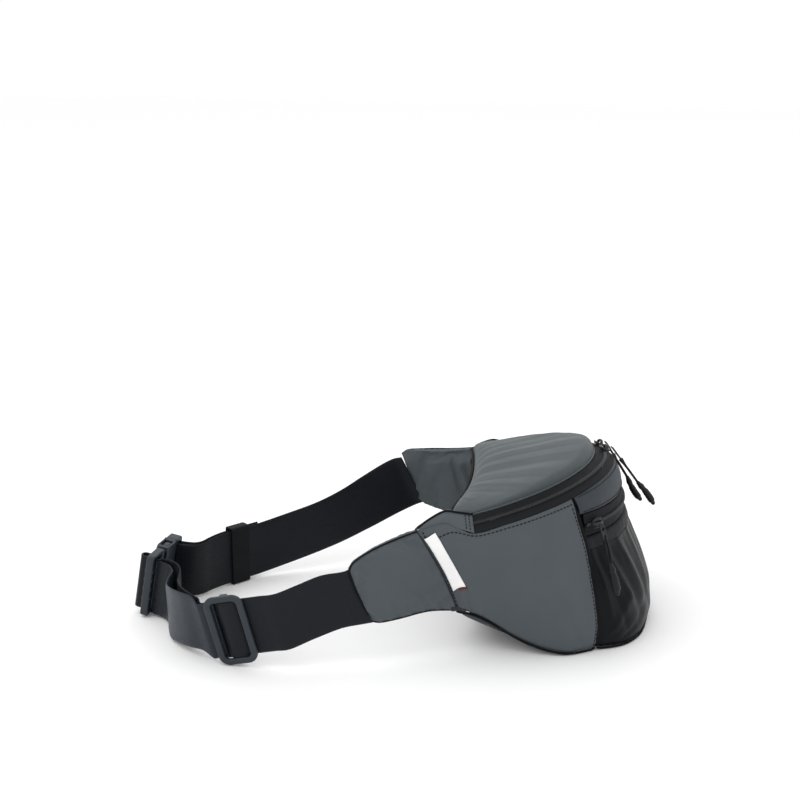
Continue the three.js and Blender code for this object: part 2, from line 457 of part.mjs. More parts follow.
// main sliders and their pulls
const fl = mainFrame(SLIDER_L), fR = mainFrame(SLIDER_R);
put('main_slider_left', slider(fl, 4.3), METAL, 0.45, 0.6);
put('main_slider_right', slider(fR, 4.3), METAL, 0.45, 0.6);
const downL = norm([0.06, -0.60, -0.80]), downR = norm([-0.02, -0.55, -0.835]);
const pl = pullParts(add(add(fl.o, fl.w, 4.0), fl.d, -5.4), downL, fl.w, 14, 24, 22);
const pr = pullParts(add(add(fR.o, fR.w, 4.0), fR.d, -5.4), downR, fR.w, 14, 22, 22);
put('main_pull_tab_left', pl.tab, METAL, 0.45, 0.6);
put('main_pull_cord_left_a', pl.cordA, BLACK);
put('main_pull_cord_left_b', pl.cordB, BLACK);
put('main_pull_end_left', pl.end, BLACK, 0.6);
put('main_pull_tab_right', pr.tab, METAL, 0.45, 0.6);
put('main_pull_cord_right_a', pr.cordA, BLACK);
put('main_pull_cord_right_b', pr.cordB, BLACK);
put('main_pull_end_right', pr.end, BLACK, 0.6);

// pocket slider and its pull
const fp = pocketFrame(SLIDER_P);
put('pocket_slider', slider(fp, 4.3), METAL, 0.45, 0.6);
const pp = pullParts(add(add(fp.o, fp.w, 5.6), fp.d, -1.5), norm([-0.12, -0.27, -0.955]), fp.w, 13, 20, 24);
put('pocket_pull_tab', pp.tab, METAL, 0.45, 0.6);
put('pocket_pull_cord_a', pp.cordA, BLACK);
put('pocket_pull_cord_b', pp.cordB, BLACK);
put('pocket_pull_end', pp.end, BLACK, 0.6);

// blank fabric label sewn beside the wing seam, and its small coloured tab
const LABEL_UV = [[0.914, 0.3125], [0.775, 0.358], [0.88, 0.878], [0.975, 0.846]];   // lower rear, lower front, upper front, upper rear
function onSide(uv, out) {
  const [u, v] = uv, e = 0.01, p = surf(SIDE, u, v);
  let nn = norm(cross(sub(surf(SIDE, Math.min(1, u + e), v), surf(SIDE, u - e, v)), sub(surf(SIDE, u, v + e), surf(SIDE, u, v - e))));
  if (nn[0] > 0) nn = nn.map((k) => -k);
  return add(p, nn, out);
}
function sideStrip(s0, s1, out, t, n) {
  const uv = (s, k) => { const a = lerp([...LABEL_UV[0], 0], [...LABEL_UV[3], 0], s), b = lerp([...LABEL_UV[1], 0], [...LABEL_UV[2], 0], s); return lerp(a, b, k).slice(0, 2); };
  const rows = [...Array(n + 1).keys()].map((i) => s0 + ((s1 - s0) * i) / n);
  return gridSolid(rows.map((s) => [0, 0.5, 1].map((k) => onSide(uv(s, k), out + t))), rows.map((s) => [0, 0.5, 1].map((k) => onSide(uv(s, k), out))));
}
put('label', sideStrip(0, 1, 1.5, 0.6, 5), WHITE, 0.7);
put('label_tab', sideStrip(-0.09, -0.015, 1.5, 0.6, 1), RED, 0.7);

// belt
put('strap_left', ribbon(webRoot), WEB, 0.6);
put('strap_left_outer', ribbon(leanEnd([[tg(19.5, -H), tg(19.5, H)], ...webOuter.slice(1)], [0.1, 0.35, 0.7, 1])), WEB, 0.6);
put('strap_return_sewn_end', ribbon(webInnerA), WEB, 0.6);
put('strap_return', ribbon(leanEnd(webInnerB, [0.1, 0.35, 0.68, 0.85, 1])), WEB, 0.6);
put('strap_right', ribbon(leanEnd(webFar, [0.1, 0.3, 0.6, 0.85, 0.96, 1])), WEB, 0.6);
put('strap_right_tail', ribbon(leanEnd(webTail, [0.1, 0.3, 0.6, 0.88, 0.97, 1])), WEB, 0.6);

// adjuster: rounded frame on the outer side of the webbing, centre bar behind it
put('strap_adjuster', (() => {
  const o = add(TG_G, TG_N, 0);
  const z0 = WEB_T / 2 + 0.6;
  const ring = minus(prism(o, TG_T, TG_W, TG_N, roundRect(TG_S, TG_L, TG_R, 3), z0, z0 + 3.4),
    prism(o, TG_T, TG_W, TG_N, roundRect(TG_S - 11, TG_L - 10, 3.5, 2), z0 - 1, z0 + 5));
  // end posts reach behind the webbing past its two edges and carry the centre bar
  const post = (s) => prism(o, TG_T, TG_W, TG_N, rect(-3.4, s > 0 ? 25.9 : -29.6, 3.4, s > 0 ? 29.6 : -25.9), -WEB_T / 2 - 2.0, z0 + 1.5);
  const bar = prism(o, TG_T, TG_W, TG_N, rect(-3, -29, 3, 29), -WEB_T / 2 - 2.0, -WEB_T / 2 - 0.5);
  return union(ring, post(1), post(-1), bar);
})(), PLASTIC, 0.45);

// elastic keeper loop round the far strap and its tail
const KEEP_C = [-2.9, 327.7], KEEP_T = norm([0.83, -0.557, 0]);
put('strap_keeper', (() => {
  const ex = [KEEP_T[1] * -1, KEEP_T[0], 0];     // across the webbing, outward (+Y)
  const o = [KEEP_C[0], KEEP_C[1], 27.6];
  const outer = prism(o, ex, [0, 0, 1], cross(ex, [0, 0, 1]), roundRect(10.8, 54.4, 1.5, 1), -9.5, 9.5);
  const inner = prism(o, ex, [0, 0, 1], cross(ex, [0, 0, 1]), rect(-4.4, -26.3, 4.4, 26.3), -12, 12);
  return minus(outer, inner);
})(), WEB, 0.8);

// buckle, lying along X and standing on edge
const BX = [1, 0, 0], BY = [0, 1, 0], BZ = [0, 0, 1];
const BK_Y = 374.5;
const box3 = (x0, y0, z0, x1, y1, z1) => prism([0, 0, 0], BX, BY, BZ, rect(x0, y0, x1, y1), z0, z1);
put('buckle_male', (() => {
  const y = BK_Y;
  return leaned(union(
    box3(-102, y - 3.4, 0.6, -98, y + 3.4, 57.4),         // outer bar
    box3(-98.5, y - 3.4, 0.6, -80, y + 3.4, 3.9),          // lower rail
    box3(-98.5, y - 3.4, 54.1, -80, y + 3.4, 57.4),        // upper rail
    box3(-92.6, y - 1.5, 3.4, -89.4, y + 1.5, 54.6),       // webbing bar
    box3(-83.4, y - 3.4, 0.6, -79, y + 3.4, 57.4),         // shoulder
    box3(-79.5, y - 1.6, 24.5, -62, y + 1.6, 33.5),        // guide tongue
  ));
})(), PLASTIC, 0.45);
const prong = (s) => {
  const zc = 29, z = (v) => zc + s * v;
  const o = [[-78.6, 17], [-78.6, 22.5], [-72, 23.4], [-66, 25.6], [-60.5, 22.6], [-59, 18.6], [-61, 16.6], [-66, 17.6], [-72, 17]];
  return leaned(prism([0, BK_Y, 0], BX, BZ, [0, -1, 0], o.map(([x, v]) => [x, z(v)]), -2.4, 2.4));
};
put('buckle_prong_lower', prong(-1), PLASTIC, 0.45);
put('buckle_prong_upper', prong(1), PLASTIC, 0.45);
put('buckle_female', (() => {
  const y = BK_Y;
  const shell = prism([0, 0, 0], BX, BZ, [0, -1, 0], [[-77, 3.4], [-73, 1], [-47, 1], [-43, 4.4], [-43, 53.6], [-47, 57], [-73, 57], [-77, 54.6]], -(y + 5.6), -(y - 5.6));
  const hollow = box3(-78, y - 3.9, 3.9, -58, y + 3.9, 54.1);
  const win = box3(-71.5, y - 3.4, -2, -60, y + 3.4, 60);          // windows for the prong buttons
  const slotA = box3(-56.6, y - 7, 4.2, -53.2, y + 7, 53.8), slotB = box3(-49.6, y - 7, 4.2, -46.4, y + 7, 53.8);
  const barA = box3(-54, y - 7, 4.2, -49, y - 2.3, 53.8), barB = box3(-54, y + 2.3, 4.2, -49, y + 7, 53.8);
  return leaned(minus(shell, hollow, win, slotA, slotB, barA, barB));
})(), PLASTIC, 0.45);
// webbing loops closed round the two buckle bars
function loopRound(cx, cy, w, h, t, z0, z1) {
  return minus(prism([cx, cy, 0], BX, BY, BZ, roundRect(w, h, Math.min(w, h) / 2 - 0.01, 3), z0, z1),
    prism([cx, cy, 0], BX, BY, BZ, roundRect(w - 2 * t, h - 2 * t, Math.min(w, h) / 2 - t - 0.01, 2), z0 - 1, z1 + 1));
}
put('strap_loop_male', leaned(loopRound(-91, BK_Y + 2.7, 9.2, 19.6, 1.8, 4.6, 53.4)), WEB, 0.6);
put('strap_loop_female', leaned(loopRound(-51.4, BK_Y, 8.4, 9.4, 1.3, 4.8, 53.2)), WEB, 0.6);

export default group;
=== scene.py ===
import bpy
import math
import numpy as np
from mathutils import Matrix, Vector


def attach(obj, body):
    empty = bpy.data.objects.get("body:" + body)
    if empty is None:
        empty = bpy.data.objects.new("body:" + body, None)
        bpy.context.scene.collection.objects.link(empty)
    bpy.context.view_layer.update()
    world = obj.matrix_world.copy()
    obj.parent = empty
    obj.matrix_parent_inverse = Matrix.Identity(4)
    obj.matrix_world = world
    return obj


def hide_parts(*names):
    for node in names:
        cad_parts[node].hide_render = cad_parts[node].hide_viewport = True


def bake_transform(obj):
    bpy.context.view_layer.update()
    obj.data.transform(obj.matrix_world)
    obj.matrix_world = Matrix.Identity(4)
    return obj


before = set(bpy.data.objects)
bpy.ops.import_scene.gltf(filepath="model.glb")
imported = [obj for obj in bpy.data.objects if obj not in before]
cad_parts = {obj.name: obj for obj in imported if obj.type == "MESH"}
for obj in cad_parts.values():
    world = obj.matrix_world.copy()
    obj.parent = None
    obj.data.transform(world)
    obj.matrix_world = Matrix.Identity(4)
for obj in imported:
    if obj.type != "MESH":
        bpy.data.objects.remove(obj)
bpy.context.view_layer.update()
scene = bpy.context.scene

# ---------------------------------------------------------------- camera
yaw, pitch = math.radians(-75.374), math.radians(15.465)
right = Vector((math.cos(yaw), math.sin(yaw), 0))
back = Vector((math.sin(yaw) * math.cos(pitch), -math.cos(yaw) * math.cos(pitch), math.sin(pitch)))
up = back.cross(right)
cam_data = bpy.data.cameras.new("camera")
cam_data.sensor_width = 36.0
cam_data.lens = 36.0 * 1484.375 / 800.0
cam = bpy.data.objects.new("camera", cam_data)
scene.collection.objects.link(cam)
m = Matrix.Identity(4)
for k, axis in enumerate((right, up, back)):
    for r in range(3):
        m[r][k] = axis[r]
m.translation = Vector((-1.2044, -0.1401, 0.5284))
cam.matrix_world = m
scene.camera = cam

# ---------------------------------------------------------------- dimensions, mm
WEB_T = 1.8
ZIP_C = np.array([0, 96, 106.6])
ZIP_R, ZIP_TILT, ZIP_IN, ZIP_UP, ZIP_END = 114.3, 0.30, 14.4, 11.4, 84.0
POC_C = (0.0, 93.0)
POC_RL, POC_ZL, POC_RU, POC_ZU = 116.0, 99.0, 113.2, 118.0
SLIDER_L, SLIDER_R, SLIDER_P = 15.0, 27.0, -31.0


def A(*p):
    return np.array(p, float)


def nrm(a):
    a = np.asarray(a, float)
    return a / np.maximum(np.linalg.norm(a, axis=-1, keepdims=True), 1e-12)


def smooth(t):
    u = np.clip(t, 0, 1)
    return u * u * (3 - 2 * u)


def orth(a, t):
    a, t = A(*a), A(*t)
    return nrm(a - t * (a @ t))


ZS, ZC = math.sin(ZIP_TILT), math.cos(ZIP_TILT)
E2, EN = A(0, -ZC, ZS), A(0, ZS, ZC)


def zip_at(deg, inward, upward):
    r, a = ZIP_R - inward, math.radians(deg)
    return ZIP_C + A(1, 0, 0) * r * math.sin(a) + E2 * r * math.cos(a) + EN * upward


def zip_tangent(deg):
    a = math.radians(deg)
    return nrm(A(math.cos(a), 0, 0) - E2 * math.sin(a))


def zip_radial(deg):
    a = math.radians(deg)
    return nrm(A(math.sin(a), 0, 0) + E2 * math.cos(a))


def pocket_at(deg, r, z):
    a = math.radians(deg)
    return A(POC_C[0] + r * math.sin(a), POC_C[1] - r * math.cos(a), z)


BAND_L = math.hypot(ZIP_IN, ZIP_UP)
BD = (-ZIP_IN / BAND_L, ZIP_UP / BAND_L)
BN = (ZIP_UP / BAND_L, ZIP_IN / BAND_L)
POC_L = math.hypot(POC_RL - POC_RU, POC_ZU - POC_ZL)
PD = ((POC_RU - POC_RL) / POC_L, (POC_ZU - POC_ZL) / POC_L)
PN = (PD[1], -PD[0])


def main_band(deg, s, d):
    return zip_at(deg, -(BD[0] * s + BN[0] * d), BD[1] * s + BN[1] * d)


def pocket_band(deg, s, d):
    return pocket_at(deg, POC_RL + PD[0] * s + PN[0] * d, POC_ZL + PD[1] * s + PN[1] * d)


def main_frame(deg):
    t, r = zip_tangent(deg), zip_radial(deg)
    return main_band(deg, BAND_L / 2, 1.9), t, nrm(r * BD[0] + EN * BD[1]), nrm(r * BN[0] + EN * BN[1])


def pocket_frame(deg):
    a = math.radians(deg)
    t, r = A(math.cos(a), math.sin(a), 0), A(math.sin(a), -math.cos(a), 0)
    z = A(0, 0, 1)
    return pocket_band(deg, POC_L / 2, 1.9), t, nrm(r * PD[0] + z * PD[1]), nrm(r * PN[0] + z * PN[1])


# ---------------------------------------------------------------- noise and grids
def vnoise(x, y, seed=0):
    x, y = np.asarray(x, float), np.asarray(y, float)
    xi, yi = np.floor(x).astype(np.int64), np.floor(y).astype(np.int64)
    xf, yf = x - xi, y - yi

    def h(a, b):
        n = (a * 374761393 + b * 668265263 + seed * 144269504) & 0xFFFFFFFF
        n = ((n ^ (n >> 13)) * 1274126177) & 0xFFFFFFFF
        return ((n ^ (n >> 16)) & 0xFFFF) / 65535.0 * 2 - 1

    u, v = xf * xf * (3 - 2 * xf), yf * yf * (3 - 2 * yf)
    a, b = h(xi, yi), h(xi + 1, yi)
    c, d = h(xi, yi + 1), h(xi + 1, yi + 1)
    return (a * (1 - u) + b * u) * (1 - v) + (c * (1 - u) + d * u) * v


def fbm(x, y, seed=0, octaves=3):
    total, amp, norm = 0.0, 1.0, 0.0
    for k in range(octaves):
        total = total + amp * vnoise(x * 2**k + 7.3 * k, y * 2**k - 3.1 * k, seed + k)
        norm += amp
        amp *= 0.5
    return total / norm


def cr(P, u):
    P = np.asarray(P, float)
    n = len(P) - 1
    x = np.clip(np.asarray(u, float), 0, 1) * n
    i = np.minimum(n - 1, np.floor(x).astype(int))
    t = (x - i).reshape((-1,) + (1,) * (P.ndim - 1))
    Pe = np.concatenate([[2 * P[0] - P[1]], P, [2 * P[-1] - P[-2]]])
    p0, p1, p2, p3 = Pe[i], Pe[i + 1], Pe[i + 2], Pe[i + 3]
    return 0.5 * (2 * p1 + (p2 - p0) * t + (2 * p0 - 5 * p1 + 4 * p2 - p3) * t * t + (3 * p1 - p0 - 3 * p2 + p3) * t**3)


def surf(grid, us, vs):
    g = np.asarray(grid, float)
    a = cr(g.transpose(1, 0, 2), us)
    return cr(a.transpose(1, 0, 2), vs)


def normals(G, inside=None, flip=False):
    du = np.gradient(G, axis=1)
    dv = np.gradient(G, axis=0)
    N = nrm(np.cross(du, dv))
    if inside is not None:
        s = np.sign(np.sum(N * (G - np.asarray(inside, float)), axis=-1, keepdims=True))
        N = N * np.where(np.median(s) < 0, -1.0, 1.0)
    return -N if flip else N


def arc(G, axis):
    d = np.linalg.norm(np.diff(G, axis=axis), axis=-1)
    z = np.zeros_like(np.take(d, [0], axis=axis))
    return np.concatenate([z, np.cumsum(d, axis=axis)], axis=axis)


def fold_set(X, Y, LU, LV, items):
    d = np.zeros_like(X)
    for u0, v0, u1, v1, amp, w in items:
        ax, ay, bx, by = u0 * LU, v0 * LV, u1 * LU, v1 * LV
        L2 = (bx - ax) ** 2 + (by - ay) ** 2
        t = ((X - ax) * (bx - ax) + (Y - ay) * (by - ay)) / L2
        perp = ((X - ax) * (by - ay) - (Y - ay) * (bx - ax)) / math.sqrt(L2)
        taper = smooth(t / 0.22) * smooth((1 - t) / 0.22) * (t > 0) * (t < 1)
        ww = w * (0.7 + 0.6 * np.clip(t, 0, 1))
        d += amp * np.exp(-((perp / ww) ** 2)) * taper
    return d


# ---------------------------------------------------------------- mesh makers
def mk(name, V, F, mat, body=None, uv=None, flat=False, scale=0.001):
    me = bpy.data.meshes.new(name)
    V = np.asarray(V, float) * scale
    me.from_pydata([tuple(p) for p in V], [], [tuple(int(k) for k in f) for f in F])
    me.validate()
    if uv is not None:
        layer = me.uv_layers.new(name="UVMap")
        idx = np.zeros(len(me.loops), np.int32)
        me.loops.foreach_get("vertex_index", idx)
        layer.data.foreach_set("uv", np.asarray(uv, float)[idx].astype(np.float32).ravel())
    me.shade_flat() if flat else me.shade_smooth()
    ob = bpy.data.objects.new(name, me)
    scene.collection.objects.link(ob)
    if mat is not None:
        me.materials.append(mat)
    if body:
        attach(ob, body)
    return ob


def fix_normals(ob):
    import bmesh

    bm = bmesh.new()
    bm.from_mesh(ob.data)
    bmesh.ops.recalc_face_normals(bm, faces=bm.faces[:])
    bm.to_mesh(ob.data)
    bm.free()
    return ob


def grid_faces(m, n, base=0, wrap_u=False, wrap_v=False):
    i, j = np.meshgrid(np.arange(m if wrap_v else m - 1), np.arange(n if wrap_u else n - 1), indexing="ij")
    a = base + i * n + j
    b = base + i * n + (j + 1) % n
    c = base + ((i + 1) % m) * n + (j + 1) % n
    d = base + ((i + 1) % m) * n + j
    return np.stack([a, b, c, d], -1).reshape(-1, 4)


def shell(name, outer, inner, mat, body, uv=None):
    """closed solid between two grids of the same size"""
    m, n = outer.shape[:2]
    V = np.concatenate([outer.reshape(-1, 3), inner.reshape(-1, 3)])
    F = [grid_faces(m, n), grid_faces(m, n, m * n)[:, ::-1]]
    b = m * n
    rim = [(0, j) for j in range(n)] + [(i, n - 1) for i in range(1, m)] + [(m - 1, j) for j in range(n - 2, -1, -1)] + [(i, 0) for i in range(m - 2, 0, -1)]
    ids = np.array([i * n + j for i, j in rim])
    nx = np.roll(ids, -1)
    F.append(np.stack([ids, ids + b, nx + b, nx], -1))
    F = np.concatenate(F)
    if uv is None:
        uv = np.stack([arc(outer, 1).ravel(), arc(outer, 0).ravel()], -1) / 1000.0
    uv = np.concatenate([uv, uv])
    ob = mk(name, V, F, mat, body, uv)
    return fix_normals(ob)


class Panel:
    """A sewn fabric panel: a dense surface over a control grid, its edges rolled in at the seams."""

    def __init__(self, grid, inside, step=2.0, inset=(0.3, 0.3, 0.3, 0.3), disp=None, drop=(1.3, 1.3, 1.3, 1.3), roll=2.6, thick=1.2, pucker=0.22, seed=1):
        self.grid = grid
        mid = np.linspace(0, 1, 33)
        lu = arc(surf(grid, mid, [0.5]), 1)[0, -1]
        lv = arc(surf(grid, [0.5], mid), 0)[-1, 0]
        nu, nv = int(max(6, lu / step)), int(max(4, lv / step))
        us = np.linspace(inset[0] / lu, 1 - inset[1] / lu, nu + 1)
        vs = np.linspace(inset[2] / lv, 1 - inset[3] / lv, nv + 1)
        # closer rows by the seams, where the cloth rolls in
        self.us = self.crowd(us, 3.2 / lu)
        self.vs = self.crowd(vs, 3.2 / lv)
        G = surf(grid, self.us, self.vs)
        N = normals(G, inside)
        X, Y = arc(G, 1), arc(G, 0)
        LU, LV = X[:, -1:], Y[-1:, :]
        U, V = np.meshgrid(self.us, self.vs)
        e = [X, LU - X, Y, LV - Y]
        d = np.zeros_like(X)
        if disp is not None:
            d = d + disp(U, V, U * lu, V * lv, lu, lv)
        near = np.minimum.reduce(e)
        hold = smooth(near / 9.0)
        d = d * hold
        for k in range(4):
            along = Y if k < 2 else X
            d = d - drop[k] * np.exp(-((e[k] / roll) ** 2) * 1.2) * (1.0 if drop[k] else 0)
            if drop[k]:
                d = d + pucker * np.exp(-((e[k] / 6.5) ** 2)) * vnoise(along / 3.1, e[k] / 14.0, seed + 11 * k) * smooth(e[k] / 1.2)
        self.P = G + N * d[..., None]
        self.N = normals(self.P, inside)
        self.inner = G + N * (d - thick - 0.0)[..., None]
        self.X, self.Y, self.lu, self.lv = U * lu, V * lv, lu, lv

    @staticmethod
    def crowd(s, w):
        a, b = s[0], s[-1]
        extra = [a + w * k for k in (0.12, 0.28, 0.5, 0.75)] + [b - w * k for k in (0.12, 0.28, 0.5, 0.75)]
        inner = s[(s > a + w) & (s < b - w)]
        return np.unique(np.concatenate([[a], extra, inner, [b]]))

    def build(self, name, mat, body=None):
        uv = np.stack([self.X.ravel(), self.Y.ravel()], -1) / 1000.0
        return shell(name, self.P, self.inner, mat, body, uv)

    def at(self, u, v, off=0.0):
        """points and normals on the finished surface, at arrays of u and v"""
        u, v = np.atleast_1d(u).astype(float), np.atleast_1d(v).astype(float)
        fi = np.interp(u, self.us, np.arange(len(self.us)))
        fj = np.interp(v, self.vs, np.arange(len(self.vs)))
        i, j = np.minimum(fi.astype(int), len(self.us) - 2), np.minimum(fj.astype(int), len(self.vs) - 2)
        a, b = (fi - i)[:, None], (fj - j)[:, None]

        def q(M):
            return (M[j, i] * (1 - a) + M[j, i + 1] * a) * (1 - b) + (M[j + 1, i] * (1 - a) + M[j + 1, i + 1] * a) * b

        N = nrm(q(self.N))
        return q(self.P) + N * off, N


def frames_along(path, ref):
    T = nrm(np.gradient(path, axis=0))
    ref = np.broadcast_to(np.asarray(ref, float), path.shape)
    N = nrm(ref - T * np.sum(ref * T, -1, keepdims=True))
    return T, N, np.cross(T, N)


def tube(name, path, radius, mat, body=None, ref=(0, 0.1, 1), sides=10, cap=True, flat_ratio=1.0, uvk=1.0):
    path = np.asarray(path, float)
    T, N, B = frames_along(path, ref)
    r = np.broadcast_to(np.asarray(radius, float), (len(path),))
    if cap:  # rounded ends
        r0, r1 = r[0], r[-1]
        k = np.array([0.0, 0.35, 0.7, 0.93])
        head = path[0] - T[0] * r0 * np.cos(np.arcsin(k))[:, None] * 0.8
        tail = path[-1] + T[-1] * r1 * np.cos(np.arcsin(k[::-1]))[:, None] * 0.8
        path = np.concatenate([head, path, tail])
        r = np.concatenate([r0 * k, r, r1 * k[::-1]])
        T, N, B = frames_along(path, np.concatenate([np.repeat(N[:1], 4, 0), N, np.repeat(N[-1:], 4, 0)]))
    ang = np.linspace(0, 2 * math.pi, sides, endpoint=False)
    ring = path[:, None, :] + r[:, None, None] * (np.cos(ang)[None, :, None] * N[:, None, :] * flat_ratio + np.sin(ang)[None, :, None] * B[:, None, :])
    m = len(path)
    V = ring.reshape(-1, 3)
    F = [tuple(f) for f in grid_faces(m, sides, wrap_u=True)]
    L = arc(path[None], 1)[0]
    uv = np.stack([np.tile(ang / (2 * math.pi) * 0.01, m), np.repeat(L, sides) / 1000.0], -1) * uvk
    F += [tuple(range(sides - 1, -1, -1)), tuple(range((m - 1) * sides, m * sides))]
    return mk(name, V, F, mat, body, uv)


def resample(path, step, extra=None):
    path = np.asarray(path, float)
    L = arc(path[None], 1)[0]
    n = max(2, int(round(L[-1] / step)) + 1)
    s = np.linspace(0, L[-1], n)
    out = np.stack([np.interp(s, L, path[:, k]) for k in range(3)], -1)
    if extra is None:
        return out
    ex = np.stack([np.interp(s, L, extra[:, k]) for k in range(3)], -1)
    return out, nrm(ex)


def stitches(name, runs, mat, body, pitch=3.0, dash=2.25, r=0.3, blendable=False):
    """dashes of thread along each run (points, normals)"""
    Vs, Fs, base = [], [], 0
    prof = [(-0.5, 0.28, -0.30), (-0.40, 0.85, -0.02), (-0.15, 1.0, 0.13), (0.15, 1.0, 0.13), (0.40, 0.85, -0.02), (0.5, 0.28, -0.30)]
    S = 6
    ang = np.linspace(0, 2 * math.pi, S, endpoint=False)
    for P, N in runs:
        P, N = np.asarray(P, float), np.asarray(N, float)
        L = arc(P[None], 1)[0]
        n = max(1, int(L[-1] / pitch))
        T = nrm(np.gradient(P, axis=0))
        for k in range(n):
            s = (k + 0.5) * L[-1] / n
            c = A(*[np.interp(s, L, P[:, q]) for q in range(3)])
            t = nrm(A(*[np.interp(s, L, T[:, q]) for q in range(3)]))
            nn = A(*[np.interp(s, L, N[:, q]) for q in range(3)])
            nn = nrm(nn - t * (nn @ t))
            b = np.cross(t, nn)
            for along, rr, out in prof:
                o = c + t * along * dash + nn * out
                Vs.append(o + r * rr * (np.cos(ang)[:, None] * nn * 0.8 + np.sin(ang)[:, None] * b))
            m = len(prof)
            f = grid_faces(m, S, base, wrap_u=True)
            Fs += [tuple(x) for x in f]
            Fs += [tuple(base + q for q in range(S - 1, -1, -1)), tuple(base + (m - 1) * S + q for q in range(S))]
            base += m * S
    V = np.concatenate(Vs)
    return mk(name, V, Fs, mat, body, np.stack([V[:, 0], V[:, 1] + V[:, 2]], -1) / 1000.0)


def ring_plate(name, o, ex, ey, ez, outer, inner, z0, z1, bev, mat, body=None, steps=4, waist=0.0):
    """a flat ring between two outlines with rounded rims"""
    outer, inner = np.asarray(outer, float), np.asarray(inner, float)
    n = len(outer)
    no, ni = outline_normals(outer), outline_normals(inner)
    o, ex, ey, ez = (np.asarray(k, float) for k in (o, ex, ey, ez))
    a = np.linspace(0, math.pi / 2, steps + 1)
    loop = []
    for k in a:  # outer rim, bottom to side
        loop.append((outer - no * bev * (1 - math.sin(k)), z0 + bev * (1 - math.cos(k))))
    for k in a:
        loop.append((outer - no * bev * (1 - math.cos(k)), z1 - bev * (1 - math.sin(k))))
    for k in a:
        loop.append((inner + ni * bev * (1 - math.sin(k)), z1 - bev * (1 - math.cos(k))))
    for k in a:
        loop.append((inner + ni * bev * (1 - math.cos(k)), z0 + bev * (1 - math.sin(k))))
    rows = []
    for pts, z in loop:
        rows.append(o + pts[:, :1] * ex + pts[:, 1:] * ey + z * ez)
    V = np.stack(rows)  # stations, n, 3
    F = grid_faces(len(rows), n, wrap_u=True, wrap_v=True)
    ob = mk(name, V.reshape(-1, 3), F, mat, body, np.tile(outer / 1000.0, (len(rows), 1)))
    return fix_normals(ob)


def outline_normals(P):
    d = np.roll(P, -1, 0) - np.roll(P, 1, 0)
    d = d / np.maximum(np.linalg.norm(d, axis=1, keepdims=True), 1e-9)
    n = np.stack([d[:, 1], -d[:, 0]], -1)
    area = np.sum(P[:, 0] * np.roll(P[:, 1], -1) - np.roll(P[:, 0], -1) * P[:, 1])
    return n if area > 0 else -n


def plate(name, o, ex, ey, ez, outline, z0, z1, bev, mat, body=None, steps=3):
    """a solid plate of a 2D outline, its rims rounded"""
    P = np.asarray(outline, float)
    n = len(P)
    no = outline_normals(P)
    o, ex, ey, ez = (np.asarray(k, float) for k in (o, ex, ey, ez))
    a = np.linspace(0, math.pi / 2, steps + 1)
    loop = [(P - no * bev * (1 - math.sin(k)), z0 + bev * (1 - math.cos(k))) for k in a]
    loop += [(P - no * bev * (1 - math.cos(k)), z1 - bev * (1 - math.sin(k))) for k in a]
    V = np.concatenate([o + p[:, :1] * ex + p[:, 1:] * ey + z * ez for p, z in loop])
    m = len(loop)
    F = [tuple(f) for f in grid_faces(m, n, wrap_u=True)]
    F += [tuple(range(n - 1, -1, -1)), tuple(range((m - 1) * n, m * n))]
    ob = mk(name, V, F, mat, body, np.tile(P / 1000.0, (m, 1)))
    fix_normals(ob)
    split_sharp(ob, 50)
    return ob


def split_sharp(ob, deg=40):
    me = ob.data
    me.shade_smooth()
    if hasattr(me, "set_sharp_from_angle"):
        me.set_sharp_from_angle(angle=math.radians(deg))
    return ob


def rrect(w, h, r, n=6, cx=0.0, cy=0.0):
    pts = []
    for sx, sy, a0 in ((1, 1, 0), (-1, 1, 90), (-1, -1, 180), (1, -1, 270)):
        for i in range(n + 1):
            a = math.radians(a0 + 90 * i / n)
            pts.append((cx + sx * (w / 2 - r) + r * math.cos(a), cy + sy * (h / 2 - r) + r * math.sin(a)))
    return np.array(pts)


def join(name, obs, body=None):
    obs = [o for o in obs if o is not None]
    with bpy.context.temp_override(active_object=obs[0], selected_editable_objects=obs, selected_objects=obs, object=obs[0]):
        bpy.ops.object.join()
    ob = obs[0]
    ob.name = name
    ob.data.name = name
    if body:
        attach(ob, body)
    return ob


# ---------------------------------------------------------------- materials
def node(nt, kind, loc=(0, 0), **kw):
    n = nt.nodes.new(kind)
    n.location = loc
    for k, v in kw.items():
        setattr(n, k, v)
    return n


def new_mat(name):
    mt = bpy.data.materials.new(name)
    mt.use_nodes = True
    nt = mt.node_tree
    bsdf = nt.nodes["Principled BSDF"]
    return mt, nt, bsdf


def ramp(nt, fac, stops):
    r = node(nt, "ShaderNodeValToRGB")
    e = r.color_ramp.elements
    while len(e) < len(stops):
        e.new(0.5)
    for k, (pos, col) in enumerate(stops):
        e[k].position = pos
        e[k].color = (*col, 1) if len(col) == 3 else col
    nt.links.new(fac, r.inputs["Fac"])
    return r.outputs["Color"]


def math_node(nt, op, a, b=None, c=None):
    n = node(nt, "ShaderNodeMath", operation=op)
    for k, v in enumerate((a, b, c)):
        if v is None:
            continue
        if isinstance(v, (int, float)):
            n.inputs[k].default_value = v
        else:
            nt.links.new(v, n.inputs[k])
    return n.outputs[0]


def mix_col(nt, fac, a, b, mode="MIX"):
    n = node(nt, "ShaderNodeMix", data_type="RGBA", blend_type=mode)
    for sock, v in ((n.inputs[0], fac), (n.inputs[6], a), (n.inputs[7], b)):
        if isinstance(v, (int, float)):
            sock.default_value = v
        elif isinstance(v, (tuple, list)):
            sock.default_value = (*v[:3], 1)
        else:
            nt.links.new(v, sock)
    return n.outputs[2]


